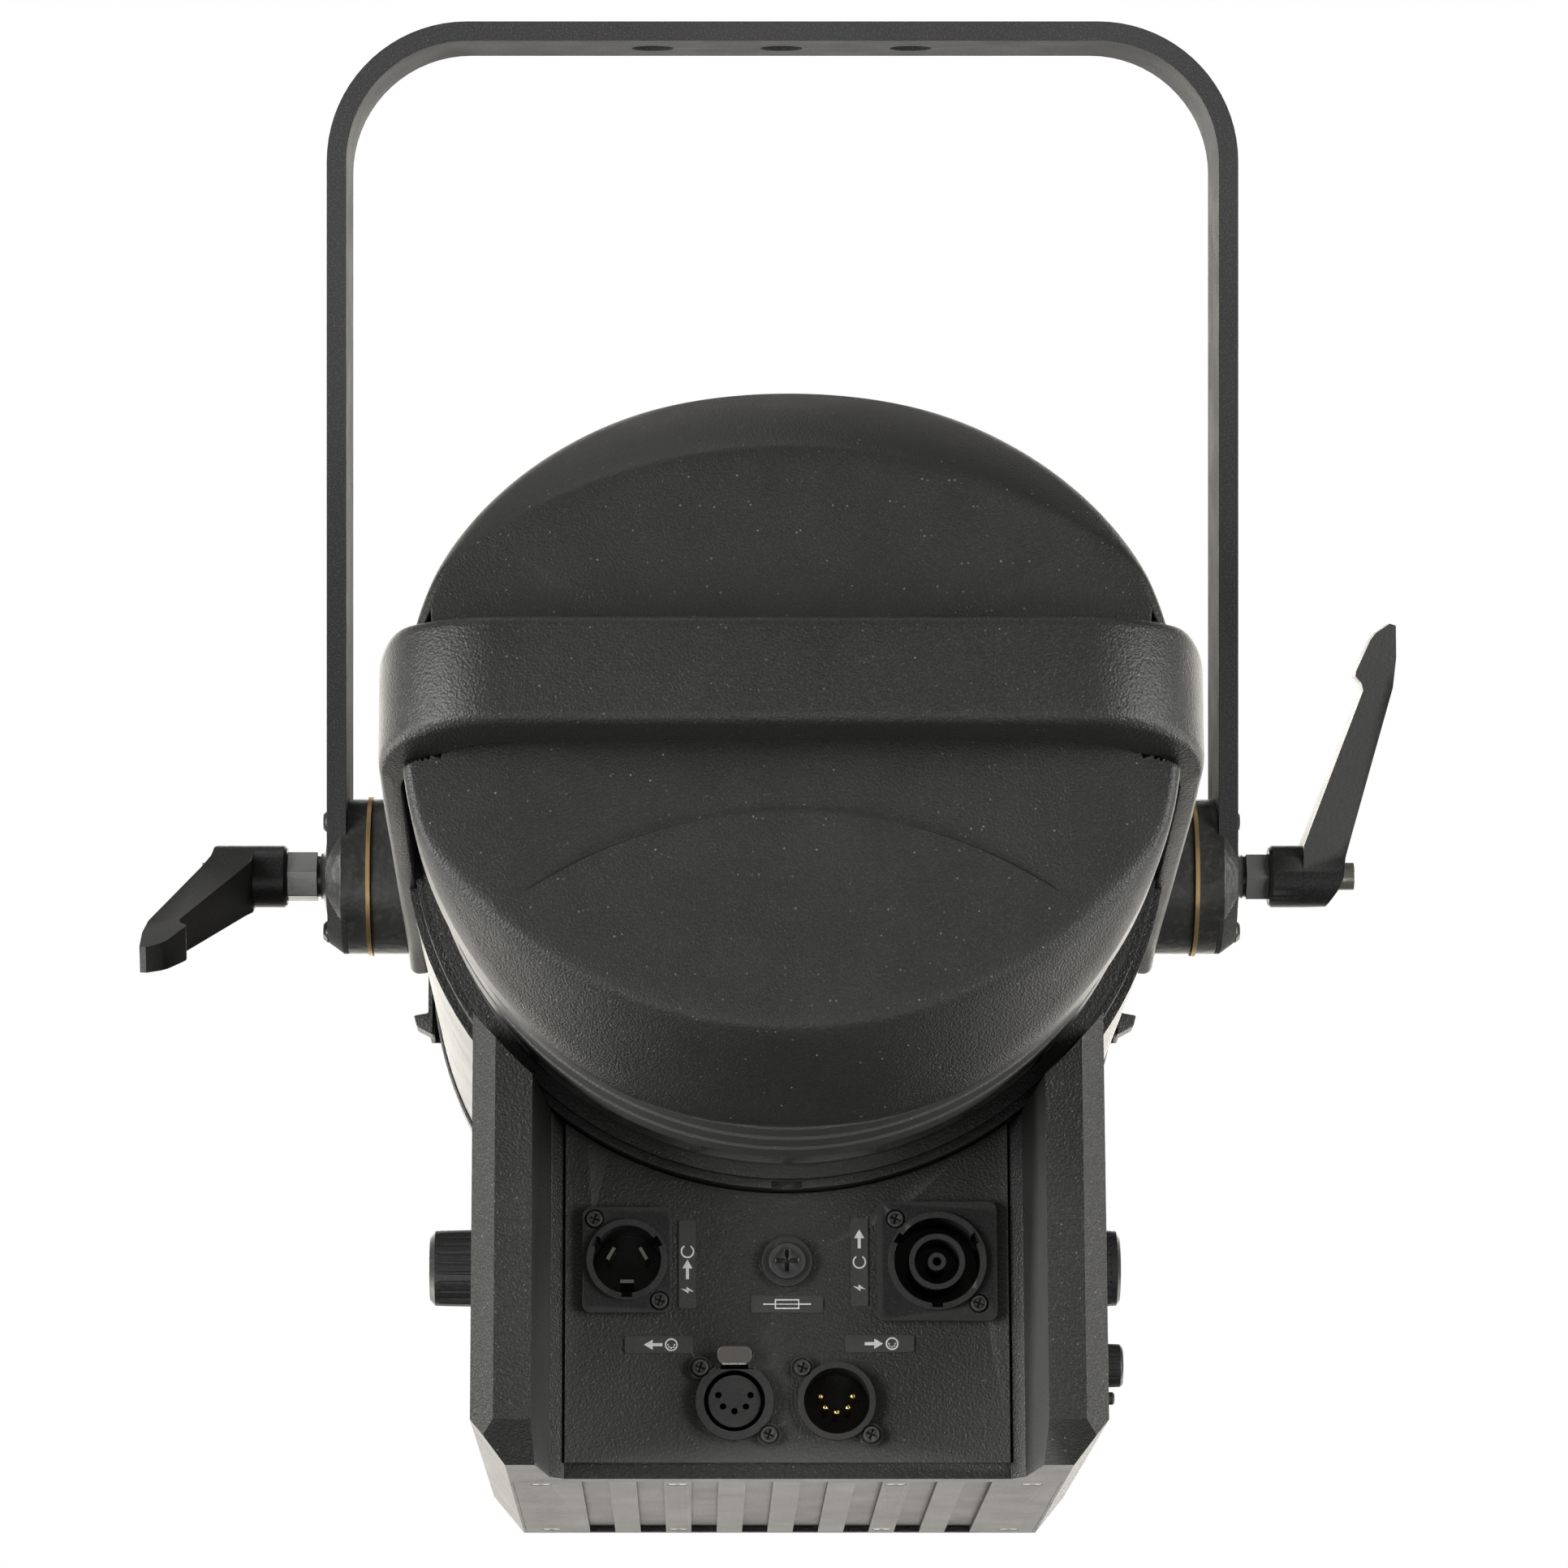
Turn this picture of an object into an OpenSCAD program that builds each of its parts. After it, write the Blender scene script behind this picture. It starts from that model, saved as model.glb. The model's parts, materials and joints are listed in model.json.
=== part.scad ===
// Stage spotlight with a Fresnel lens, a manual zoom and a hanging yoke.
// The row frame has +Z up and +Y along the beam. Its origin is the middle clamp hole in the
// yoke's top face. The head is modelled level about its own tilt axis, then tipped nose down.

/* [Yoke] */
// Height from the tilt axis to the top face of the yoke
yoke_h = 263; // [255:1:300]
// Outside width of the yoke
yoke_w = 280; // [280:0.5:284]
// Depth of the flat bar
bar_d = 40; // [36:1:44]
// Thickness of the flat bar
bar_t = 6; // [5:0.5:6]
// Outside radius of the two bends
bend_r = 43; // [30:1:60]
// Diameter of the clamp holes
clamp_hole_d = 13; // [11:0.5:13]
// Spacing of the clamp holes
clamp_pitch = 40; // [35:1:50]
// Tilt of the head at rest, nose down
rest_tilt = 12.5; // [0:0.5:30]

/* [Pivot] */
// Diameter of the clutch discs
clutch_d = 48; // [44:1:50]
// Diameter of the clamping studs
stud_d = 9.9; // [8:0.1:9.9]
// Length of each clamp lever from its axis to its tip
lever_l = 78; // [60:1:90]
// Direction of the left lever, from straight up towards the rear
left_lever_turn = 107.5; // [0:0.5:180]
// Direction of the right lever, from straight up towards the rear
right_lever_turn = 0; // [0:0.5:180]

/* [Drum] */
// Outside diameter of the drum
drum_d = 227; // [226.6:0.2:227.4]
// Wall thickness of the drum
drum_wall = 2.5; // [2:0.25:3]
// Distance from the tilt axis forward to the front of the drum
drum_front = 158; // [150:1:160]
// Outside diameter of the front ring
bezel_d = 229.2; // [228:0.2:231]
// Diameter of the Fresnel lens
lens_d = 168; // [150:1:170]

/* [Rear cap] */
// Outside diameter of the rear cap
cap_d = 217.6; // [217:0.2:218]
// Distance from the tilt axis back to the cap's rear face
cap_rear = 203; // [200:1:203]
// Distance from the tilt axis back to the cap's lip
cap_lip = 168; // [167:0.5:169]
// Depth of the finger trough across the cap
trough_depth = 4; // [2:0.5:5]

/* [Handle] */
// Distance from the tilt axis back to the handle's rear face
handle_rear = 225; // [225:1:230]
// Height of the handle's grip
grip_h = 30; // [26:1:34]
// Depth of the handle's grip
grip_d = 16; // [14:1:16]

/* [Housing] */
// Half of the housing's width
house_x = 91; // [88:0.5:92]
// Distance from the tilt axis down to the underside
house_bottom = 195; // [190:1:200]
// Distance from the tilt axis forward to the housing's front
house_front = 97; // [90:1:110]
// Wall thickness of the housing
house_wall = 3; // [2.5:0.25:3.5]
// Depth of the grooves under the base plate
groove_depth = 1.8; // [1:0.2:2]

/* [Zoom] */
// Drop from the tilt axis to the zoom shaft
zoom_drop = 122.35; // [122.35:0.05:122.4]
// Diameter of the zoom knobs
zoom_knob_d = 23.5; // [20:0.5:26]
// Teeth on the zoom pinion
pinion_teeth = 12; // [12:1:12]

/* [Hidden] */
$fn = 96;

charcoal = [0.17, 0.175, 0.17];
satin_black = [0.12, 0.12, 0.12];
deep_black = [0.06, 0.06, 0.06];
steel = [0.72, 0.72, 0.72];
brass = [0.78, 0.62, 0.38];
gold = [0.85, 0.66, 0.3];
circuit_green = [0.1, 0.3, 0.16];
clear_glass = [0.85, 0.92, 0.95];

// Gap left between parts that are fitted by hand
fit_gap = 0.1;
// Radial clearance of a shaft that turns or slides in its hole
run_gap = 0.05;

leg_x = yoke_w / 2 - bar_t;
clutch_r = clutch_d / 2;
clutch_in = leg_x - 6;
washer_t = 1.3;
boss_out = clutch_in - washer_t - 0.2;
clutch_screw_z = 17;
lever_start = [153.2, 150.9];
hub_r = 9.6;
hub_l = 11.7;
hex_af = 13.9;

drum_r = drum_d / 2;
drum_bore = drum_r - drum_wall;
drum_rear = 79.5;
collar_r = 111;
panel_arc_r = collar_r + 0.6;
collar_rear = 91;
cap_r = cap_d / 2;
cap_wall = 3;
cap_lift = 2;
cap_rim = 3;
// Height of a bevel cone's axis, and its reach past the beam axis at the cap's face and lip
upper_bevel = [-70.5, 82.5, 107.4];
lower_bevel = [41.5, -83.5, -106.4];
trough_edge = 24.5;
trough_half = 78;
trough_side = [77, 49.5];
arm_x = 115.5;
arm_in = cap_r + 0.5;
handle_low = -2;
handle_front = 36;
corner_r = 33;

panel_y = -82;
panel_t = 1.5;
rail_rear = -129;
panel_half = 65;
saddle_gap = 0.2;

power_in_at = [-46.8, -131.4];
power_out_at = [43.9, -131.8];
fuse_at = [0, -131.8];
data_out_at = [-15.4, -172.7];
data_in_at = [14.4, -172.7];
rod_at = [90, -33];
rod_r = 3;
pinion_r = pinion_teeth / 2;
tooth_pitch = PI;
rack_z = -zoom_drop + pinion_r;
board_y = -70;
lens_y = 142;

// ---- frames and helpers -------------------------------------------------------------

// Places children given about the tilt axis, upright with the yoke
module about_axis() {
    translate([0, 0, -yoke_h]) children();
}

// Places children given level about the tilt axis, tipped with the head
module head() {
    about_axis() rotate([-rest_tilt, 0, 0]) children();
}

// A cylinder or cone along +X, from x0 to x1
module rod_x(x0, x1, r, r2) {
    translate([x0, 0, 0]) rotate([0, 90, 0])
        cylinder(h = x1 - x0, r1 = r, r2 = is_undef(r2) ? r : r2);
}

// A cylinder or cone along +Y, from y0 to y1
module rod_y(y0, y1, r, r2) {
    translate([0, y0, 0]) rotate([-90, 0, 0])
        cylinder(h = y1 - y0, r1 = r, r2 = is_undef(r2) ? r : r2);
}

// A profile of [radius, y] turned about the beam axis
module turned_y(profile) {
    rotate([-90, 0, 0]) rotate_extrude() polygon(profile);
}

// A profile of [radius, x] turned about the tilt axis
module turned_x(profile) {
    rotate([0, 90, 0]) rotate_extrude() polygon(profile);
}

// A 2D shape in X and Z, extruded along Y from y0 to y1
module along_y(y0, y1) {
    translate([0, y1, 0]) rotate([90, 0, 0]) linear_extrude(height = y1 - y0) children();
}

// A 2D shape in Y and Z, extruded along X from x0 to x1
module along_x(x0, x1) {
    translate([x0, 0, 0]) rotate([90, 0, 90]) linear_extrude(height = x1 - x0) children();
}

// A 2D shape in X and Y, extruded along Z from z0 to z1
module along_z(z0, z1) {
    translate([0, 0, z0]) linear_extrude(height = z1 - z0) children();
}

// A box from its low corner to its high corner
module box(low, high) {
    translate(low) cube(high - low);
}

// A rectangle about the origin with round corners
module round_rect(w, h, r) {
    square([w, h - 2 * r], center = true);
    square([w - 2 * r, h], center = true);
    for (x = [-1, 1], z = [-1, 1])
        translate([x * (w / 2 - r), z * (h / 2 - r)]) circle(r = r);
}

// Both sides, mirrored across the middle plane
module both_sides() {
    children();
    mirror([1, 0, 0]) children();
}

// ---- yoke and pivots ----------------------------------------------------------------

// The inside or outside outline of the bent bar, set in by t
module yoke_outline(t) {
    r = bend_r - t;
    w = yoke_w - 2 * t;
    translate([-w / 2, -60]) square([w, yoke_h - t - r + 60]);
    translate([-w / 2 + r, 0]) square([w - 2 * r, yoke_h - t]);
    for (x = [-1, 1])
        translate([x * (w / 2 - r), yoke_h - t - r]) circle(r = r);
}

module yoke_bar() {
    color(charcoal) about_axis() difference() {
        intersection() {
            along_y(-bar_d / 2, bar_d / 2) difference() {
                yoke_outline(0);
                yoke_outline(bar_t);
            }
            union() {
                box([-yoke_w, -bar_d / 2, 0], [yoke_w, bar_d / 2, yoke_h]);
                both_sides() clutch_form(0);
            }
        }
        for (x = [-1:1])
            translate([x * clamp_pitch, 0, yoke_h - bar_t - 1])
                cylinder(h = bar_t + 2, r = clamp_hole_d / 2);
        rod_x(-yoke_w, yoke_w, stud_d / 2 + 0.5);
        for (z = [-clutch_screw_z, clutch_screw_z])
            translate([0, 0, z]) rod_x(-yoke_w, yoke_w, 2.2);
    }
}

// The clutch disc's full form, from a bore out; the bar's foot follows it
module clutch_form(bore) {
    out = yoke_w / 2;
    turned_x([
        [bore, clutch_in], [clutch_r, clutch_in], [clutch_r, out - 4.4],
        [clutch_r - 3.2, out], [bore, out]
    ]);
}

module clutch_disc() {
    difference() {
        clutch_form(stud_d / 2 + 0.5);
        box([leg_x - 0.02, -bar_d / 2 - fit_gap, -clutch_r - 1],
            [yoke_w, bar_d / 2 + fit_gap, clutch_r + 1]);
        for (z = [-clutch_screw_z, clutch_screw_z])
            translate([0, 0, z]) rod_x(clutch_in + 1.5, yoke_w, 1.75);
    }
}

module yoke_clutch_discs() {
    color(satin_black) about_axis() both_sides() clutch_disc();
}

module clutch_screws() {
    face = yoke_w / 2;
    color(satin_black) about_axis() both_sides()
        for (z = [-clutch_screw_z, clutch_screw_z]) translate([0, 0, z]) difference() {
            union() {
                rod_x(clutch_in + 2, face, 1.7);
                rod_x(face, face + 0.8, 3.6);
                rod_x(face + 0.8, face + 2.1, 3.6, 2.6);
            }
            along_x(face + 0.9, face + 3) circle(d = 2.9, $fn = 6);
        }
}

module friction_washers() {
    color(brass) about_axis() both_sides() difference() {
        rod_x(clutch_in - washer_t - 0.1, clutch_in - 0.1, clutch_r + 0.8);
        rod_x(clutch_in - 5, clutch_in + 5, stud_d / 2 + 0.4);
    }
}

module flange_washers() {
    face = yoke_w / 2;
    color(deep_black) about_axis() both_sides() turned_x([
        [stud_d / 2 + 0.3, face + 0.05], [13, face + 0.05], [13, face + 0.7],
        [8.6, face + 2.5], [stud_d / 2 + 0.3, face + 2.5]
    ]);
}

// ---- clamp levers -------------------------------------------------------------------

// Puts a lever, drawn upright on the right, on its side and at its angle
module lever_place(side) {
    about_axis()
        if (side < 0)
            mirror([1, 0, 0]) rotate([left_lever_turn, 0, 0]) children();
        else
            rotate([right_lever_turn, 0, 0]) children();
}

// The stud, its hexagon and the serrated head that the lever grips
module lever_stud(side) {
    start = lever_start[side < 0 ? 0 : 1];
    hex_in = yoke_w / 2 + 2.55;
    color(satin_black) lever_place(side) difference() {
        union() {
            rod_x(109, hex_in + 1, stud_d / 2);
            rod_x(hex_in, hex_in + 1.2, 6.4);
            along_x(hex_in + 1.2, start - 0.1) circle(d = hex_af / cos(30), $fn = 6);
            along_x(start - 0.1, start + 8) union() {
                circle(r = 4.9);
                for (a = [0:30:330]) rotate(a) translate([4.7, 0]) square([1.5, 1.4], center = true);
            }
        }
        rod_x(start - 4, start + 9, 2.5);
    }
}

// The outline of the arm and its root, in [out from the hub's face, up along the arm]
function lever_outline() = [
    [hub_l, -hub_r], [17.6, -9.3], [20.9, -4.2], [22.6, 0], [23.2, 6.0],
    [38.2, 0.75 * lever_l], [39.3, 0.87 * lever_l], [39.3, lever_l - 0.2], [37.4, lever_l + 0.4],
    [33.2, lever_l - 2.4], [31.4, lever_l - 4.6], [26.8, 0.815 * lever_l], [26.6, 0.795 * lever_l],
    [28.4, 0.77 * lever_l], [29.0, 0.74 * lever_l], [10.4, hub_r], [9.8, -hub_r]
];

module lever_arm(side) {
    start = lever_start[side < 0 ? 0 : 1];
    color(satin_black) lever_place(side) difference() {
        union() {
            rod_x(start, start + 1, hub_r - 0.8, hub_r);
            rod_x(start + 1, start + hub_l, hub_r);
            intersection() {
                translate([start, 0, 0]) along_y(-hub_r, hub_r) polygon(lever_outline());
                along_x(start, start + 60) union() {
                    circle(r = hub_r);
                    polygon([
                        [-hub_r, 0], [hub_r, 0], [hub_r - 1.6, 14], [5.2, lever_l - 12],
                        [4, lever_l + 1], [-4, lever_l + 1], [-5.2, lever_l - 12],
                        [-hub_r + 1.6, 14]
                    ]);
                }
            }
        }
        // Blind bore for the serrated head, and the screw's counterbore with room to pull out
        rod_x(start - 1, start + 10.5, 5.8);
        rod_x(start + 10, start + 30, 2.4);
        rod_x(start + 12.5, start + 30, 4.6);
    }
}

// The retaining screw that holds the lever on its serrated head
module lever_screw(side) {
    start = lever_start[side < 0 ? 0 : 1];
    color(steel) lever_place(side) difference() {
        union() {
            rod_x(start + 2, start + 19.2, 2.3);
            rod_x(start + 19.1, start + 26.6, 4.45);
        }
        along_x(start + 24, start + 28) circle(d = 4.6, $fn = 6);
    }
}

module lever_stud_left() { lever_stud(-1); }
module lever_stud_right() { lever_stud(1); }
module lever_arm_left() { lever_arm(-1); }
module lever_arm_right() { lever_arm(1); }
module lever_screw_left() { lever_screw(-1); }
module lever_screw_right() { lever_screw(1); }

// ---- head: bosses, handle, cap and vents ----------------------------------------------

boss_spigot_r = 11;

module pivot_bosses() {
    color(satin_black) head() both_sides() difference() {
        union() {
            rod_x(arm_x, boss_out, clutch_r);
            rod_x(106, arm_x, boss_spigot_r);
        }
        rod_x(100, 140, stud_d / 2 + run_gap);
    }
}

// A block open to the front, seen from above, with round rear corners
module rear_u(half, rear, r) {
    translate([-half, rear + r]) square([2 * half, handle_front - rear - r]);
    translate([-half + r, rear]) square([2 * (half - r), r + 1]);
    for (x = [-1, 1]) translate([x * (half - r), rear + r]) circle(r = r);
}

// The room inside the handle, shrunk by g
module handle_inside(g) {
    rear_u(arm_in - g, -handle_rear + grip_d + g, corner_r - g);
}

// What the handle's thick corners take out of the cap, grown by g
module handle_notch(g) {
    along_z(handle_low - 10.5 - g, handle_low + grip_h + 1 + g) difference() {
        translate([-150, -handle_rear]) square([300, handle_rear - 150]);
        handle_inside(0.4 + g);
    }
}

module carry_handle() {
    low = handle_low;
    top = handle_low + grip_h;
    front = handle_front;
    shoulder = 9;
    color(charcoal) head() difference() {
        intersection() {
            along_z(-40, 40) rear_u(arm_x, -handle_rear, 34);
            along_y(-handle_rear - 1, front + 1) union() {
                translate([-arm_x, -40]) square([2 * arm_x, 40 + top - shoulder]);
                translate([-arm_x + shoulder, -40]) square([2 * (arm_x - shoulder), 80]);
                for (x = [-1, 1]) translate([x * (arm_x - shoulder), top - shoulder]) circle(r = shoulder);
            }
            along_x(-130, 130) polygon([
                [-handle_rear - 1, low + 2], [-handle_rear + 2, low],
                [-handle_rear + grip_d, low - 3], [-205, low - 7], [-150, -14.5], [-7, -25.5],
                [12, -28.5], [28, -21], [front, -8], [front, 14], [26, 24], [0, top],
                [-handle_rear + 2, top], [-handle_rear - 1, top - 2]
            ]);
        }
        along_z(-41, 41) {
            handle_inside(0);
            translate([-arm_in, 0]) square([2 * arm_in, 2 * handle_front]);
        }
        rod_y(-collar_rear - 1, 60, drum_r + fit_gap);
        rod_x(-130, 130, boss_spigot_r + fit_gap);
    }
}

// The domed form of the cap: a rimmed cylinder trimmed by two cones, inset by t
module cap_form(t, rear, front) {
    r = cap_r - t;
    intersection() {
        translate([0, 0, cap_lift])
            turned_y([[0, rear], [r - cap_rim, rear], [r, rear + cap_rim], [r, front], [0, front]]);
        bevel_cone(upper_bevel, t, rear, front);
        bevel_cone(lower_bevel, t, rear, front);
    }
}

// A bevel cone, inset by t
module bevel_cone(bevel, t, rear, front) {
    at_face = abs(bevel[1] - bevel[0]);
    at_lip = abs(bevel[2] - bevel[0]);
    flare = (at_lip - at_face) / (cap_rear - cap_lip);
    translate([0, 0, bevel[0]])
        rod_y(rear, front, at_face - t + (rear + cap_rear) * flare, at_face - t + (front + cap_rear) * flare);
}

// The finger trough: a shallow scoop between two arcs
module cap_trough() {
    drop = trough_side[1] - trough_edge;
    arc_r = (trough_side[0] * trough_side[0] + drop * drop) / (2 * drop);
    scoop_r = (trough_half * trough_half + trough_depth * trough_depth) / (2 * trough_depth);
    difference() {
        translate([0, -cap_rear + trough_depth - scoop_r, -60])
            cylinder(h = 120, r = scoop_r, $fn = 240);
        for (side = [-1, 1])
            translate([0, 0, cap_lift + side * (trough_edge + arc_r)])
                rod_y(-cap_rear - 5, -190, arc_r);
    }
}

screw_ring_r = 92;

module cap_screw_places() {
    for (a = [45:90:315]) rotate([0, a, 0]) translate([screw_ring_r, 0, 0]) children();
}

module rear_cap() {
    color(charcoal) head() difference() {
        union() {
            difference() {
                cap_form(0, -cap_rear, -cap_lip);
                difference() {
                    cap_form(cap_wall, -cap_rear + 7, -cap_lip + 1);
                    handle_notch(cap_wall);
                }
            }
            intersection() {
                cap_screw_places() rod_y(-cap_rear + 3, -cap_lip, 4.5);
                cap_form(1, -cap_rear, -cap_lip);
            }
        }
        cap_trough();
        handle_notch(0);
        cap_screw_places() rod_y(-cap_rear + 12, -cap_lip + 1, 1.6);
    }
}

vent_r = cap_r - cap_lift - 1.2;
vent_leg = [vent_r - 5, vent_r - 1];

module vent_grille() {
    color(deep_black) head() difference() {
        union() {
            for (y = [-163, -145, -127]) turned_y([
                [vent_r - 3, y + 2], [vent_r - 0.8, y], [vent_r, y + 0.8],
                [vent_r, y + 13], [vent_r - 3, y + 15]
            ]);
            turned_y([
                [screw_ring_r + 5, -cap_lip], [vent_r, -cap_lip], [vent_r, -cap_lip + 3],
                [screw_ring_r + 5, -cap_lip + 3]
            ]);
            for (a = [0:15:345]) rotate([0, a, 0])
                box([vent_leg[0], -cap_lip, -1.5], [vent_leg[1], -collar_rear, 1.5]);
            cap_screw_places() rod_y(-cap_lip, -cap_lip + 3, 6);
            turned_y([
                [vent_leg[0], -collar_rear - 4], [vent_leg[1], -collar_rear - 4],
                [vent_leg[1], -collar_rear], [vent_leg[0], -collar_rear]
            ]);
        }
        cap_screw_places() rod_y(-cap_lip - 1, -cap_lip + 4, 2.1);
    }
}

module cap_screws() {
    color(steel) head() cap_screw_places() difference() {
        union() {
            rod_y(-cap_rear + 14, -cap_lip + 3, 1.5);
            rod_y(-cap_lip + 3, -cap_lip + 5, 2.8);
        }
        rod_y(-cap_lip + 4, -cap_lip + 6, 1.2);
    }
}

// ---- head: cooling and light source ---------------------------------------------------

fin_r = 95;
fan_y = -178;
fan_t = 25;
fan_half = 60;
fan_hole = 52.5;

module heat_sink() {
    fin_pitch = 9;
    fin_t = 1.5;
    core_t = 6;
    seat_y = -drum_rear + 4;
    color([0.55, 0.55, 0.56]) head() difference() {
        union() {
            rod_y(seat_y, seat_y + 5, drum_bore - fit_gap);
            rod_y(seat_y, board_y, 34);
            along_y(fan_y + fan_t, seat_y + 1) intersection() {
                circle(r = fin_r);
                union() {
                    for (i = [-10:10])
                        translate([i * fin_pitch - fin_t / 2, -fin_r]) square([fin_t, 2 * fin_r]);
                    square([2 * fin_r, core_t], center = true);
                }
            }
        }
        for (x = [-1, 1])
            translate([x * rod_at[0], 0, rod_at[1]]) rod_y(board_y - 9, board_y + 1, rod_r + 0.02);
        // Notch that the rack runs into
        box([-rack_half - 1.5, -drum_rear, -drum_bore - 1], [rack_half + 1.5, board_y + 1, -106]);
    }
}

module fan_frame() {
    color(deep_black) head() difference() {
        union() {
            along_y(fan_y, fan_y + fan_t) difference() {
                round_rect(2 * fan_half, 2 * fan_half, 6);
                circle(r = 57);
            }
            along_y(fan_y + fan_t - 3, fan_y + fan_t) union() {
                circle(r = 20);
                for (a = [45:90:315]) rotate(a) translate([0, -2.5]) square([58, 5]);
            }
        }
        for (x = [-1, 1], z = [-1, 1])
            translate([x * fan_hole, 0, z * fan_hole]) rod_y(fan_y - 1, fan_y + fan_t + 1, 2.2);
        rod_y(fan_y, fan_y + fan_t + 1, 2);
    }
}

module fan_rotor() {
    color([0.1, 0.1, 0.11]) head() union() {
        rod_y(fan_y + 2, fan_y + fan_t - 3.4, 19);
        rod_y(fan_y + 4, fan_y + fan_t - 0.5, 2 - run_gap);
        intersection() {
            for (a = [0:360 / 7:359]) rotate([0, a, 0]) translate([36, fan_y + 11.8, 0])
                rotate([38, 0, 0]) cube([40, 22, 1.8], center = true);
            rod_y(fan_y + 2, fan_y + fan_t - 4, 54);
        }
    }
}

module led_board() {
    color([0.9, 0.9, 0.88]) head() rod_y(board_y, board_y + 2, 32);
}

module led_emitter() {
    color([0.95, 0.85, 0.35]) head() union() {
        along_y(board_y + 2, board_y + 3) round_rect(30, 30, 2);
        rod_y(board_y + 3, board_y + 4, 12);
    }
}

// ---- head: drum, front ring and accessory holders ----------------------------------------

rack_half = 5;
bezel_end = 174;
bezel_boss_rear = 147;

module drum_body() {
    lug_y = 150;
    color(charcoal) head() difference() {
        union() {
            turned_y([
                [104, -collar_rear], [108.5, -collar_rear], [108.5, -88], [collar_r, -88],
                [collar_r, -drum_rear], [drum_r, -drum_rear], [drum_r, drum_front], [drum_bore, drum_front],
                [drum_bore, -drum_rear + 4], [104, -drum_rear + 4]
            ]);
            both_sides() intersection() {
                rod_y(lug_y, lug_y + 6, drum_bore + 1);
                box([rod_at[0] - 7, lug_y, rod_at[1] - 7], [drum_r, lug_y + 6, rod_at[1] + 7]);
            }
            intersection() {
                bezel_screw_places() rod_y(bezel_boss_rear, drum_front, 6);
                rod_y(bezel_boss_rear, drum_front, drum_bore + 1);
            }
        }
        for (x = [-1, 1])
            translate([x * rod_at[0], 0, rod_at[1]]) rod_y(lug_y - 1, lug_y + 7, rod_r + 0.02);
        bezel_screw_places() rod_y(bezel_boss_rear - 1, drum_front + 1, 1.6);
        rod_x(-130, 130, boss_spigot_r + fit_gap);
        // Slot for the rack, and the notch in the rear collar
        box([-rack_half - 1.5, -76, -125], [rack_half + 1.5, 80, -100]);
        box([-4.5, -collar_rear - 1, -125], [4.5, -86, -109]);
    }
}

bezel_screw_r = bezel_d / 2 - 9;

module bezel_screw_places() {
    for (a = [45:90:315]) rotate([0, a, 0]) translate([bezel_screw_r, 0, 0]) children();
}

module front_bezel() {
    r = bezel_d / 2;
    rear = drum_front + fit_gap;
    color(charcoal) head() difference() {
        union() {
            turned_y([
                [r - 0.6, rear], [r, rear + 0.6], [r, bezel_end - 1.5],
                [r - 1.5, bezel_end], [lens_d / 2 + 6, bezel_end], [lens_d / 2 + 6, bezel_end - 3],
                [r - 6.5, bezel_end - 3], [r - 6.5, rear]
            ]);
            bezel_screw_places() rod_y(rear, bezel_end - 2, 6);
            both_sides() along_x(latch_half + 0.4, latch_half + 3.4) polygon([
                [158.5, r - 3], [167.5, r - 3], [167.5, 121], [165.5, 123], [160.5, 123], [158.5, 121]
            ]);
        }
        bezel_screw_places() rod_y(drum_front, bezel_end + 1, 1.7);
        latch_pin_line() rod_x(-30, 30, 1.5 + run_gap);
    }
}

module bezel_screws() {
    color(satin_black) head() bezel_screw_places() difference() {
        union() {
            rod_y(bezel_end - 24, bezel_end, 1.5);
            rod_y(bezel_end, bezel_end + 1.6, 3, 2.2);
        }
        rod_y(bezel_end + 0.8, bezel_end + 2, 1);
    }
}

holder_x = bezel_d / 2 + 0.1;
lip_y = bezel_end + 12;

// Clips that hold a colour frame or barn doors in front of the lens
module accessory_holders() {
    plate = 1.6;
    half = 20;
    color(charcoal) head() {
        both_sides() union() {
            box([holder_x, 160, -half], [holder_x + plate, lip_y, half]);
            box([holder_x - 14, lip_y - plate, -half], [holder_x, lip_y, half]);
            for (side = [-1, 1]) along_y(160, 170) polygon([
                [holder_x, side * 13.8], [holder_x + 6.4, side * 15], [holder_x + 5.5, side * 18.6],
                [holder_x, side * 21.5]
            ]);
        }
        union() {
            box([-30, 160, -holder_x - plate], [30, lip_y, -holder_x]);
            box([-30, lip_y - plate, -holder_x], [30, lip_y, -holder_x + 14]);
        }
    }
}

latch_hinge = [0, 163, 120];
latch_half = 14;

// Puts children on the axis of the latch's hinge
module latch_pin_line() {
    translate(latch_hinge) children();
}

module accessory_latch() {
    color(charcoal) head() union() {
        along_x(-latch_half, latch_half) polygon([
            [161, 118.4], [lip_y, 118.4], [lip_y, 103], [lip_y - 1.8, 103],
            [lip_y - 1.8, 116.6], [161, 116.6]
        ]);
        latch_pin_line() rod_x(-latch_half, latch_half, 2.8);
        latch_pin_line() rod_x(-latch_half - 3.5, latch_half + 3.5, 1.5);
    }
}

// ---- head: zoom ---------------------------------------------------------------------------

module guide_rods() {
    color(steel) head() for (x = [-1, 1])
        translate([x * rod_at[0], 0, rod_at[1]]) rod_y(board_y - 7, 156, rod_r);
}

carriage_r = 99;

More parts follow.
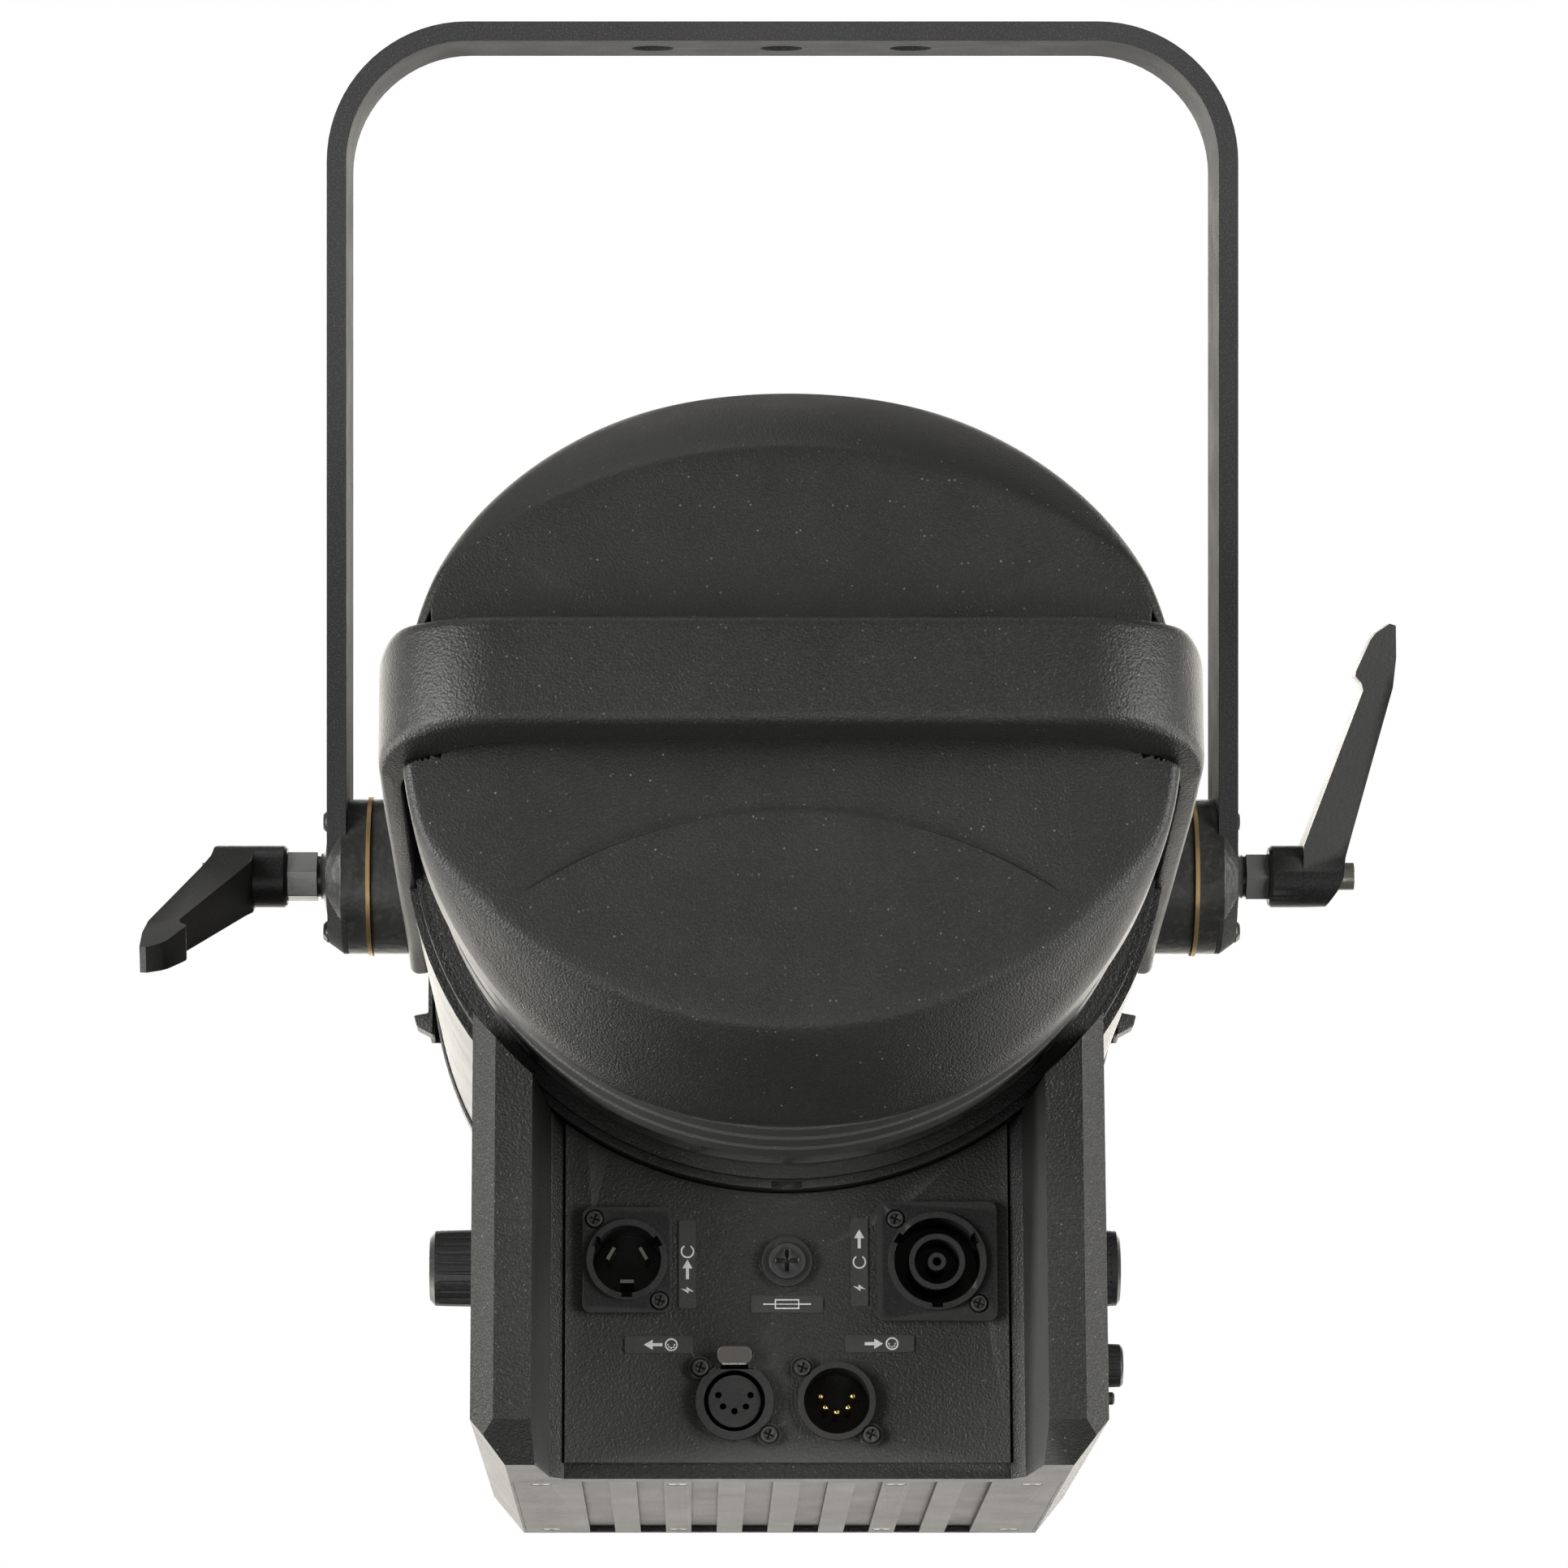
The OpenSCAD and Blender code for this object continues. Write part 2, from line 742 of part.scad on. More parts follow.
module lens_carriage() {
    color(satin_black) head() difference() {
        union() {
            turned_y([
                [lens_d / 2 - 4, lens_y - 3], [carriage_r, lens_y - 3], [carriage_r, lens_y + 7],
                [lens_d / 2 + 1, lens_y + 7], [lens_d / 2 + 1, lens_y], [lens_d / 2 - 4, lens_y]
            ]);
            for (x = [-1, 1])
                translate([x * rod_at[0], 0, rod_at[1]]) rod_y(lens_y - 18, lens_y + 7, 6);
            box([-rack_half, 40, -108], [rack_half, lens_y + 7, -103.5]);
            box([-rack_half, lens_y - 3, -105], [rack_half, lens_y + 7, -carriage_r + 3]);
        }
        for (x = [-1, 1])
            translate([x * rod_at[0], 0, rod_at[1]]) rod_y(lens_y - 20, lens_y + 9, rod_r + run_gap);
        rod_y(lens_y - 20, lens_y - 3, lens_d / 2 - 3.9);
    }
}

module fresnel_lens() {
    pitch = 4;
    steps = floor((lens_d / 2 - 8) / pitch);
    core = 8;
    color(clear_glass) head() turned_y(concat(
        [[0, lens_y + 0.1], [lens_d / 2 + 0.9, lens_y + 0.1], [lens_d / 2 + 0.9, lens_y + 3]],
        [for (i = [steps - 1:-1:0], k = [1, 0])
            [core + (i + k) * pitch, lens_y + 3 + (k == 1 ? 0.2 : 2.6)]],
        [[0, lens_y + 6]]
    ));
}

module lens_clips() {
    color(steel) head() for (a = [30:120:270]) rotate([0, a, 0])
        box([lens_d / 2 - 3, lens_y + 7, -4], [lens_d / 2 + 8, lens_y + 8, 4]);
}

module zoom_rack() {
    teeth = 22;
    tip = 0.55;
    root = 1.15;
    color(steel) head() union() {
        box([-rack_half + 0.2, -4.2, rack_z + 1.2], [rack_half - 0.2, 72, -108]);
        along_x(-rack_half + 0.2, rack_half - 0.2)
            for (i = [0:teeth - 1]) translate([i * tooth_pitch, rack_z]) polygon([
                [-root / 2 - 0.3, 1.3], [-tip / 2, -0.85], [tip / 2, -0.85], [root / 2 + 0.3, 1.3]
            ]);
    }
}

module zoom_pinion() {
    color(brass) head() translate([0, 0, -zoom_drop]) difference() {
        along_x(-rack_half + 0.5, rack_half - 0.5) union() {
            circle(r = pinion_r - 1.2);
            for (i = [0:pinion_teeth - 1]) rotate((i + 0.5) * 360 / pinion_teeth) polygon([
                [pinion_r - 1.5, -0.85], [pinion_r + 0.85, -0.3],
                [pinion_r + 0.85, 0.3], [pinion_r - 1.5, 0.85]
            ]);
        }
        rod_x(-10, 10, 3.02);
    }
}

module zoom_shaft() {
    color(steel) head() translate([0, 0, -zoom_drop]) rod_x(-house_x - 11, house_x + 8, 3);
}

module shaft_bushes() {
    color(brass) head() translate([0, 0, -zoom_drop]) both_sides() difference() {
        union() {
            rod_x(house_x - house_wall, house_x, 4.9);
            rod_x(house_x - house_wall - 1.5, house_x - house_wall, 7);
        }
        rod_x(house_x - 10, house_x + 2, 3 + run_gap);
    }
}

module zoom_knob_left() {
    r = zoom_knob_d / 2;
    color(satin_black) head() translate([0, 0, -zoom_drop]) mirror([1, 0, 0]) difference() {
        turned_x([
            [0, house_x + 0.4], [r - 0.4, house_x + 0.4], [r, house_x + 0.8],
            [r - 0.3, house_x + 15.2], [r - 2, house_x + 16.8], [0, house_x + 17.6]
        ]);
        rod_x(house_x - 1, house_x + 11.02, 3.02);
        for (a = [0:15:345]) rotate([a, 0, 0]) translate([0, r + 0.35, 0])
            rod_x(house_x + 3, house_x + 14, 0.8);
    }
}

module zoom_knob_right() {
    r = zoom_knob_d / 2;
    color(satin_black) head() translate([0, 0, -zoom_drop]) difference() {
        turned_x([
            [0, house_x + 0.4], [r - 0.4, house_x + 0.4], [r, house_x + 0.8],
            [r - 0.3, house_x + 10.8], [r - 1.5, house_x + 11.8], [0, house_x + 11.8]
        ]);
        rod_x(house_x - 1, house_x + 8.02, 3.02);
        for (a = [0:15:345]) rotate([a, 0, 0]) translate([0, r + 0.35, 0])
            rod_x(house_x + 3, house_x + 9, 0.8);
    }
}

// ---- housing ------------------------------------------------------------------------------

// Plan of the housing: two rails reach back past the recessed panel
module house_plan() {
    right = [
        [panel_half, panel_y + panel_t], [panel_half + 4, panel_y - 4], [73.5, rail_rear],
        [84.2, rail_rear], [house_x, rail_rear + 8]
    ];
    polygon(concat(
        [[house_x, house_front], [-house_x, house_front]],
        [for (i = [len(right) - 1:-1:0]) [-right[i][0], right[i][1]]],
        right
    ));
}

// Plan of the space inside the housing
module house_cavity_plan() {
    t = house_wall;
    right = [
        [panel_half + 2, panel_y + panel_t + 2], [panel_half + 4 + t, panel_y - 2.5],
        [73.5 + t, rail_rear + t], [84.2 - 1.2, rail_rear + t], [house_x - t, rail_rear + 9]
    ];
    polygon(concat(
        [[house_x - t, house_front - t], [-house_x + t, house_front - t]],
        [for (i = [len(right) - 1:-1:0]) [-right[i][0], right[i][1]]],
        right
    ));
}

// The block that trims the housing's lower edges, inset by t
module house_trim(t) {
    low = -house_bottom + t;
    half = house_x + 1 - t;
    foot = 81 - t / 2;
    side_chamfer = 14;
    intersection() {
        along_y(-140, 120) polygon([
            [-half, 0], [-half, low + side_chamfer], [-foot, low], [foot, low],
            [half, low + side_chamfer], [half, 0]
        ]);
        along_x(-100, 100) polygon([
            [rail_rear + t, 0], [rail_rear + t, low + 12], [rail_rear + 10 + t / 2, low],
            [house_front - 12 - t / 2, low], [house_front - t, low + 12], [house_front - t, 0]
        ]);
    }
}

housing_top = -52;
base_half = 80;
floor_t = 6;
base_t = 3.4;
base_ledge = 14;
base_rear = -72;
base_front = 82;

module base_screw_places() {
    for (x = [-72, -32, 32, 72], y = [-64, 74]) translate([x, y, 0]) children();
}

module housing_shell() {
    color(charcoal) head() difference() {
        intersection() {
            along_z(-house_bottom, housing_top) house_plan();
            house_trim(0);
        }
        intersection() {
            along_z(-house_bottom + floor_t, housing_top + 1) house_cavity_plan();
            house_trim(house_wall);
        }
        rod_y(panel_y + panel_t + 0.3, 120, drum_r + saddle_gap);
        rod_y(-140, panel_y + panel_t + 0.4, panel_arc_r);
        // Opening behind the rear panel, and the one that the base plate closes
        box([-panel_half + 5, panel_y - 1, -186], [panel_half - 5, panel_y + 10, -60]);
        box([-base_half + base_ledge, base_rear + base_ledge, -house_bottom - 1],
            [base_half - base_ledge, base_front - base_ledge, -188]);
        box([-base_half - fit_gap, base_rear - fit_gap, -house_bottom - 1],
            [base_half + fit_gap, base_front + fit_gap, -house_bottom + base_t + fit_gap]);
        translate([0, 0, -zoom_drop]) rod_x(-100, 100, 5);
        control_holes();
        display_opening(2);
        base_screw_places() translate([0, 0, -house_bottom - 1]) cylinder(h = 12, r = 1.6);
    }
}

module base_plate() {
    groove = 8;
    color(charcoal) head() difference() {
        box([-base_half, base_rear, -house_bottom], [base_half, base_front, -house_bottom + base_t]);
        for (x = [-56:16:56])
            box([x - groove / 2, base_rear - 1, -house_bottom - 1],
                [x + groove / 2, base_front + 1, -house_bottom + groove_depth]);
        base_screw_places() translate([0, 0, -house_bottom - 1]) cylinder(h = 6, r = 1.8);
        base_screw_places() translate([0, 0, -house_bottom - 1]) cylinder(h = 2.6, r = 3.1);
    }
}

module base_screws() {
    color(satin_black) head() base_screw_places() translate([0, 0, -house_bottom]) difference() {
        union() {
            translate([0, 0, 1]) cylinder(h = 6.5, r = 1.5);
            translate([0, 0, 0.1]) cylinder(h = 1.5, r = 2.8);
        }
        translate([0, 0, -0.1]) cylinder(h = 1, r = 1);
    }
}

// ---- rear panel and its connectors -----------------------------------------------------------

// Screw places of a connector flange, from its centre
function corner_pair(at, ear) =
    [[at[0] - ear[0], at[1] + ear[1]], [at[0] + ear[0], at[1] - ear[1]]];

power_in_ear = [9.5, 12];
power_out_ear = [12.1, 12.4];
data_ear = [10, 9.75];
screws_at = concat(
    corner_pair(power_in_at, power_in_ear), corner_pair(power_out_at, power_out_ear),
    corner_pair(data_out_at, data_ear), corner_pair(data_in_at, data_ear)
);
power_in_hole = 11.8;
power_out_hole = 14.4;
data_hole = 10.3;
data_r = 11.35;
fuse_hole = 6.1;
power_seat = panel_y - 1.3;
data_seat = panel_y - 1.1;

module panel_holes(grow) {
    for (s = [[power_in_at, power_in_hole], [power_out_at, power_out_hole],
              [data_out_at, data_hole], [data_in_at, data_hole], [fuse_at, fuse_hole]])
        translate([s[0][0], 0, s[0][1]]) rod_y(-100, -60, s[1] + grow);
}

module rear_panel() {
    color(charcoal) head() difference() {
        box([-panel_half + 0.2, panel_y, -190.4], [panel_half - 0.2, panel_y + panel_t, -80]);
        rod_y(-100, -60, panel_arc_r);
        panel_holes(0.15);
        for (s = screws_at) translate([s[0], 0, s[1]]) rod_y(-100, -60, 1.4);
        box([data_out_at[0] - 4, -100, data_out_at[1] + 9], [data_out_at[0] + 4, -60, data_out_at[1] + 12]);
    }
}

label_plates = [
    [-29.1, -132.5, 5, 26], [21.2, -131.8, 5, 26], [0, -144.2, 21, 5],
    [-37.4, -156.1, 20, 5], [27, -155.8, 20, 5]
];

module panel_labels() {
    color([0.1, 0.1, 0.1]) head() for (p = label_plates)
        translate([p[0], 0, p[1]]) along_y(panel_y - 0.4, panel_y) round_rect(p[2], p[3], 0.8);
}

// A screw's hole with a sunk seat for its head
module screw_seat(seat) {
    rod_y(panel_y - 5, panel_y + 2, 1.5);
    rod_y(panel_y - 5, seat, 2.9);
}

// A bayonet power connector: flange, collar and a keyed socket
module power_connector(at, w, h, bore, ear) {
    translate([at[0], 0, at[1]]) difference() {
        union() {
            along_y(panel_y - 2.4, panel_y - 0.02) round_rect(w, h, 2.5);
            rod_y(panel_y - 3.6, panel_y + 26, bore);
        }
        rod_y(panel_y - 5, panel_y + 20, bore - 1.8);
        for (a = [90, 210, 330]) rotate([0, a, 0])
            box([bore - 3, panel_y - 5, -1.6], [bore - 0.7, panel_y + 14, 1.6]);
        for (s = corner_pair([0, 0], ear)) translate([s[0], 0, s[1]]) screw_seat(power_seat);
    }
}

module power_inlet() {
    color(deep_black) head() difference() {
        power_connector(power_in_at, 26, 31, power_in_hole, power_in_ear);
        power_contact_places(0.02);
    }
}

// The three flat contacts, grown by g
module power_contact_places(g) {
    for (a = [90, 210, 330])
        translate([power_in_at[0], 0, power_in_at[1]]) rotate([0, a, 0])
            box([5 - g, panel_y + 4, -2 - g], [6 + g, panel_y + 30, 2 + g]);
}

module power_outlet() {
    color(deep_black) head() union() {
        power_connector(power_out_at, 35, 35, power_out_hole, power_out_ear);
        translate([power_out_at[0], 0, power_out_at[1]]) difference() {
            union() {
                rod_y(panel_y - 1.5, panel_y + 20, 8.2);
                rod_y(panel_y + 19, panel_y + 21, 13);
            }
            difference() {
                rod_y(panel_y - 3, panel_y + 17, 6.6);
                rod_y(panel_y - 4, panel_y + 18, 2.6);
            }
            rod_y(panel_y - 4, panel_y + 12, 1.3);
        }
    }
}

module power_contacts() {
    color(steel) head() power_contact_places(0);
}

module fuse_holder() {
    color(deep_black) head() translate([fuse_at[0], 0, fuse_at[1]]) difference() {
        union() {
            rod_y(panel_y - 2.2, panel_y - 0.02, 7.35, 7.35);
            rod_y(panel_y - 0.05, panel_y + 34, fuse_hole);
        }
        rod_y(panel_y - 3, panel_y + 28, 5);
    }
}

module fuse_cap() {
    color(deep_black) head() translate([fuse_at[0], 0, fuse_at[1]]) difference() {
        union() {
            rod_y(panel_y - 3.6, panel_y - 2.3, 5.2, 5.6);
            rod_y(panel_y - 2.35, panel_y + 20, 5 - run_gap);
        }
        for (a = [0, 90]) rotate([0, a, 0]) box([-3.2, panel_y - 4, -0.6], [3.2, panel_y - 2.4, 0.6]);
    }
}

// The round shell of a five-pole data connector with its two screw ears
module data_shell(at, inner) {
    translate([at[0], 0, at[1]]) difference() {
        union() {
            rod_y(panel_y - 2.8, panel_y - 0.02, data_r);
            rod_y(panel_y - 0.05, panel_y + 20, data_hole);
            for (s = corner_pair([0, 0], data_ear))
                translate([s[0], 0, s[1]]) rod_y(panel_y - 1.6, panel_y - 0.02, 3.4);
        }
        rod_y(panel_y - 4, panel_y + 18, inner);
        for (s = corner_pair([0, 0], data_ear)) translate([s[0], 0, s[1]]) screw_seat(data_seat);
    }
}

// Angles and radius of the five contacts
contact_r = 4.7;
contact_angles = [for (i = [-2:2]) 90 + i * 45];
pin_r = 1;

contact_lift = 1.8;

module contact_places() {
    for (a = contact_angles) translate([0, 0, contact_lift]) rotate([0, a, 0])
        translate([contact_r, 0, 0]) children();
}

module data_outlet() {
    color(deep_black) head() union() {
        difference() {
            data_shell(data_out_at, 8.9);
            box([data_out_at[0] - 5.4, panel_y - 4, data_out_at[1] + 9.2],
                [data_out_at[0] + 5.4, panel_y + 12, data_out_at[1] + 13]);
        }
        translate([data_out_at[0], 0, data_out_at[1]]) difference() {
            union() {
                rod_y(panel_y - 1.2, panel_y + 18.1, 7.6);
                rod_y(panel_y + 16, panel_y + 18.1, 9.2);
            }
            contact_places() rod_y(panel_y - 2, panel_y + 12, 0.95);
        }
    }
}

module data_latch() {
    color(steel) head() translate([data_out_at[0], 0, data_out_at[1]]) union() {
        along_y(panel_y - 4.2, panel_y - 3.1) translate([0, 13.2]) round_rect(10, 5.2, 2.2);
        box([-3.4, panel_y - 3.6, 10.7], [3.4, panel_y + 8, 11.5]);
    }
}

module data_inlet() {
    color(deep_black) head() difference() {
        data_shell(data_in_at, 9.6);
        translate([data_in_at[0], 0, data_in_at[1]]) contact_places() rod_y(panel_y + 16, panel_y + 22, pin_r + 0.02);
    }
}

module data_pins() {
    color(gold) head() translate([data_in_at[0], 0, data_in_at[1]]) contact_places() union() {
        rod_y(panel_y + 2, panel_y + 24, pin_r);
        translate([0, panel_y + 2, 0]) sphere(r = pin_r);
    }
}

module connector_screws() {
    color(satin_black) head() for (i = [0:len(screws_at) - 1]) {
        seat = i < 4 ? power_seat : data_seat;
        translate([screws_at[i][0], 0, screws_at[i][1]]) difference() {
            union() {
                rod_y(seat - 1.5, seat, 2.2, 2.7);
                rod_y(seat, panel_y + 5, 1.35);
            }
            for (a = [0, 90]) rotate([0, a + 20, 0])
                box([-1.5, seat - 2, -0.3], [1.5, seat - 0.7, 0.3]);
        }
    }
}

// ---- side control panel --------------------------------------------------------------------

control_t = 0.8;
control_low = [-76, -178];
control_high = [26, -143];
display_low = [-28, -170];
display_high = [16, -152];
menu_at = [-60, -159.5];
back_at = [-60, -169.2];
lock_at = [-44, -172.6];
button_r = 1.9;

// The opening behind the display, grown by g
module display_opening(g) {
    box([80, display_low[0] - g, display_low[1] - g], [100, display_high[0] + g, display_high[1] + g]);
}

// Holes for the menu knob and the two buttons
module control_holes() {
    translate([0, menu_at[0], menu_at[1]]) rod_x(80, 100, 4);
    for (at = [back_at, lock_at]) translate([0, at[0], at[1]]) rod_x(80, 100, button_r + 0.3);
}

module control_panel() {
    color([0.08, 0.08, 0.09]) head() difference() {
        box([house_x, control_low[0], control_low[1]],
            [house_x + control_t, control_high[0], control_high[1]]);
        display_opening(0);
        control_holes();
    }
}

module display_window() {
    color([0.1, 0.2, 0.45]) head()
        intersection() {
            along_x(house_x - 2, house_x + control_t + 0.1) square(400, center = true);
            display_opening(-fit_gap);
        }
}

module menu_knob() {
    color(satin_black) head() translate([0, menu_at[0], menu_at[1]]) difference() {
        union() {
            turned_x([
                [0, house_x + 1.6], [6.5, house_x + 1.6], [6.3, house_x + 7.4],
                [5.6, house_x + 8.2], [0, house_x + 8.2]
            ]);
            rod_x(house_x - 6, house_x + 2, 3);
        }
        for (a = [0:20:340]) rotate([a, 0, 0]) translate([0, 6.7, 0]) rod_x(house_x + 2.4, house_x + 7, 0.5);
    }
}

module panel_button(at, out) {
    translate([0, at[0], at[1]]) union() {
        rod_x(house_x - 4, house_x + out - 0.5, button_r);
        rod_x(house_x + out - 0.5, house_x + out, button_r, button_r - 0.4);
    }
}

module back_button() {
    color(satin_black) head() panel_button(back_at, 5.7);
}

module lock_button() {
    color(satin_black) head() panel_button(lock_at, 3.5);
}

// ---- electronics ------------------------------------------------------------------------------

supply_low = [-58, -36, -186];
supply_high = [58, 78, -140];
supply_wall = 1.5;

module power_supply() {
    color([0.62, 0.63, 0.65]) head() difference() {
        box(supply_low, supply_high);
        box(supply_low + supply_wall * [1, 1, 1], supply_high - supply_wall * [1, 1, -1]);
    }
}

board_x = house_x - 10;
board_t = 1.6;
encoder_half = 6;
encoder_d = 4;

// The circuit board behind the control panel, with the menu knob's encoder
module control_board() {
    color(circuit_green) head() difference() {
        union() {
            box([board_x, -80, -180], [board_x + board_t, 30, -138]);
            translate([0, menu_at[0], menu_at[1]])
                box([board_x + board_t - 0.1, -encoder_half, -encoder_half],
                    [board_x + board_t + encoder_d, encoder_half, encoder_half]);
        }
        translate([0, menu_at[0], menu_at[1]]) rod_x(house_x - 6.2, house_x, 3 + run_gap);
    }
}

yoke_bar();
yoke_clutch_discs();
clutch_screws();
friction_washers();
flange_washers();
lever_stud_left();
lever_arm_left();
lever_screw_left();
lever_stud_right();
lever_arm_right();
lever_screw_right();
pivot_bosses();
carry_handle();
rear_cap();
vent_grille();
cap_screws();
heat_sink();
fan_frame();
fan_rotor();
led_board();
led_emitter();
drum_body();
front_bezel();
bezel_screws();
accessory_holders();
accessory_latch();
guide_rods();
lens_carriage();
fresnel_lens();
lens_clips();
zoom_rack();
zoom_shaft();
zoom_pinion();
shaft_bushes();
zoom_knob_left();
zoom_knob_right();
housing_shell();
base_plate();
base_screws();
rear_panel();
panel_labels();
power_inlet();
power_outlet();
power_contacts();
fuse_holder();
fuse_cap();
data_outlet();
data_latch();
data_inlet();
data_pins();
connector_screws();
control_panel();
display_window();
menu_knob();
back_button();
lock_button();
power_supply();
control_board();
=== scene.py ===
import json
import math

import bmesh
import bpy
from mathutils import Matrix, Vector


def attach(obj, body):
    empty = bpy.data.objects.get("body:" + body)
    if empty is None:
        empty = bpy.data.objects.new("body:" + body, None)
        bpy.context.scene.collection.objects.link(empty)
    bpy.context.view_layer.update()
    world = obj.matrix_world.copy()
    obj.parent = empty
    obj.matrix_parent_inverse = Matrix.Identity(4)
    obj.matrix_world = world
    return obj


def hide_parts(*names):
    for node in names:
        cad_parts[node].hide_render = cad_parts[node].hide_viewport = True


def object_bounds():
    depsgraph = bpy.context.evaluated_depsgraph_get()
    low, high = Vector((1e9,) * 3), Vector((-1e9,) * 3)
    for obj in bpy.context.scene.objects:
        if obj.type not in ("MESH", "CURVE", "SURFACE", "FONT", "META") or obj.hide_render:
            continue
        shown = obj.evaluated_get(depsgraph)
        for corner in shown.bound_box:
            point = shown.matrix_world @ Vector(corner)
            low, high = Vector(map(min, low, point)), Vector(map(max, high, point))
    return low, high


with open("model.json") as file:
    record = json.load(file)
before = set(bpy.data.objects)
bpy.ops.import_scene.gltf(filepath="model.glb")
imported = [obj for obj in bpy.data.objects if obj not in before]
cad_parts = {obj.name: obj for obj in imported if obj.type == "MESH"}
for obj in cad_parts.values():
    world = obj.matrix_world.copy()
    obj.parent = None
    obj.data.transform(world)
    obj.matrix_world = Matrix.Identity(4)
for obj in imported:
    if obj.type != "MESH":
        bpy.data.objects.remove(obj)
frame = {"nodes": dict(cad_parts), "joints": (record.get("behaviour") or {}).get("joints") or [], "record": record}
CAD_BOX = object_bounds()
JOINTS = {j["name"]: j for j in frame["joints"]}
NODE_BODY = {n: b for b, members in frame["record"]["behaviour"]["bodies"].items() for n in members}
MM = 0.001

# ---- where the head is --------------------------------------------------------------------
PIVOT = Vector(JOINTS["head_tilt"]["pos_m"])
FORWARD = Vector(JOINTS["zoom_slide"]["axis"])
TILT = math.asin(FORWARD.z)
HEAD = Matrix.Translation(PIVOT) @ Matrix.Rotation(TILT, 4, "X")
HEAD_MM = HEAD @ Matrix.Scale(MM, 4)


def head_box(node):
    """The lowest and highest corners of a CAD node in the head's own level frame, in mm."""
    to_head = HEAD_MM.inverted()
    points = [to_head @ v.co for v in frame["nodes"][node].data.vertices]
    low = Vector([min(p[i] for p in points) for i in range(3)])
    high = Vector([max(p[i] for p in points) for i in range(3)])
    return low, high


# ---- materials ----------------------------------------------------------------------------

def new_material(name):
    """A new material, its node tree, its shader and object coordinates to drive patterns with."""
    material = bpy.data.materials.new(name)
    material.use_nodes = True
    tree = material.node_tree
    shader = tree.nodes["Principled BSDF"]
    coords = tree.nodes.new("ShaderNodeTexCoord")
    return material, tree, shader, coords.outputs["Object"]


def noise(tree, coords, scale, detail=3.0, roughness=0.5):
    node = tree.nodes.new("ShaderNodeTexNoise")
    node.inputs["Scale"].default_value = scale
    node.inputs["Detail"].default_value = detail
    node.inputs["Roughness"].default_value = roughness
    tree.links.new(coords, node.inputs["Vector"])
    return node.outputs["Fac"]


def ramp(tree, value, low, high, start=0.0, end=1.0):
    """Maps value from [start, end] to [low, high]."""
    node = tree.nodes.new("ShaderNodeMapRange")
    node.inputs["From Min"].default_value = start
    node.inputs["From Max"].default_value = end
    node.inputs["To Min"].default_value = low
    node.inputs["To Max"].default_value = high
    tree.links.new(value, node.inputs["Value"])
    return node.outputs["Result"]


def multiply(tree, a, b):
    node = tree.nodes.new("ShaderNodeMath")
    node.operation = "MULTIPLY"
    tree.links.new(a, node.inputs[0])
    tree.links.new(b, node.inputs[1])
    return node.outputs[0]


def mix_colour(tree, factor, a, b):
    node = tree.nodes.new("ShaderNodeMix")
    node.data_type = "RGBA"
    for key, colour in (("A", a), ("B", b)):
        socket = [s for s in node.inputs if s.name == key and s.type == "RGBA"][0]
        if isinstance(colour, tuple):
            socket.default_value = (*colour, 1.0)
        else:
            tree.links.new(colour, socket)
    tree.links.new(factor, node.inputs["Factor"])
    return [s for s in node.outputs if s.type == "RGBA"][0]


def add_bump(tree, shader, height, strength, distance):
    node = tree.nodes.new("ShaderNodeBump")
    node.inputs["Strength"].default_value = strength
    node.inputs["Distance"].default_value = distance
    tree.links.new(height, node.inputs["Height"])
    tree.links.new(node.outputs["Normal"], shader.inputs["Normal"])


def painted_edge_highlight(tree, colour, edge_highlight_colour, amount):
    """Painted highlight: lightens colour a little on convex edges, where rounded edges catch the light."""
    geometry = tree.nodes.new("ShaderNodeNewGeometry")
    factor = ramp(tree, geometry.outputs["Pointiness"], 0.0, amount, 0.52, 0.62)
    return mix_colour(tree, factor, colour, edge_highlight_colour)


SPECKLE = 0.8                    # how strongly the fine grain shows in the colour
FLECK_SCALE = 560.0              # pale dust flecks, cells per metre
FLECK_COLOUR = (0.22, 0.22, 0.215)


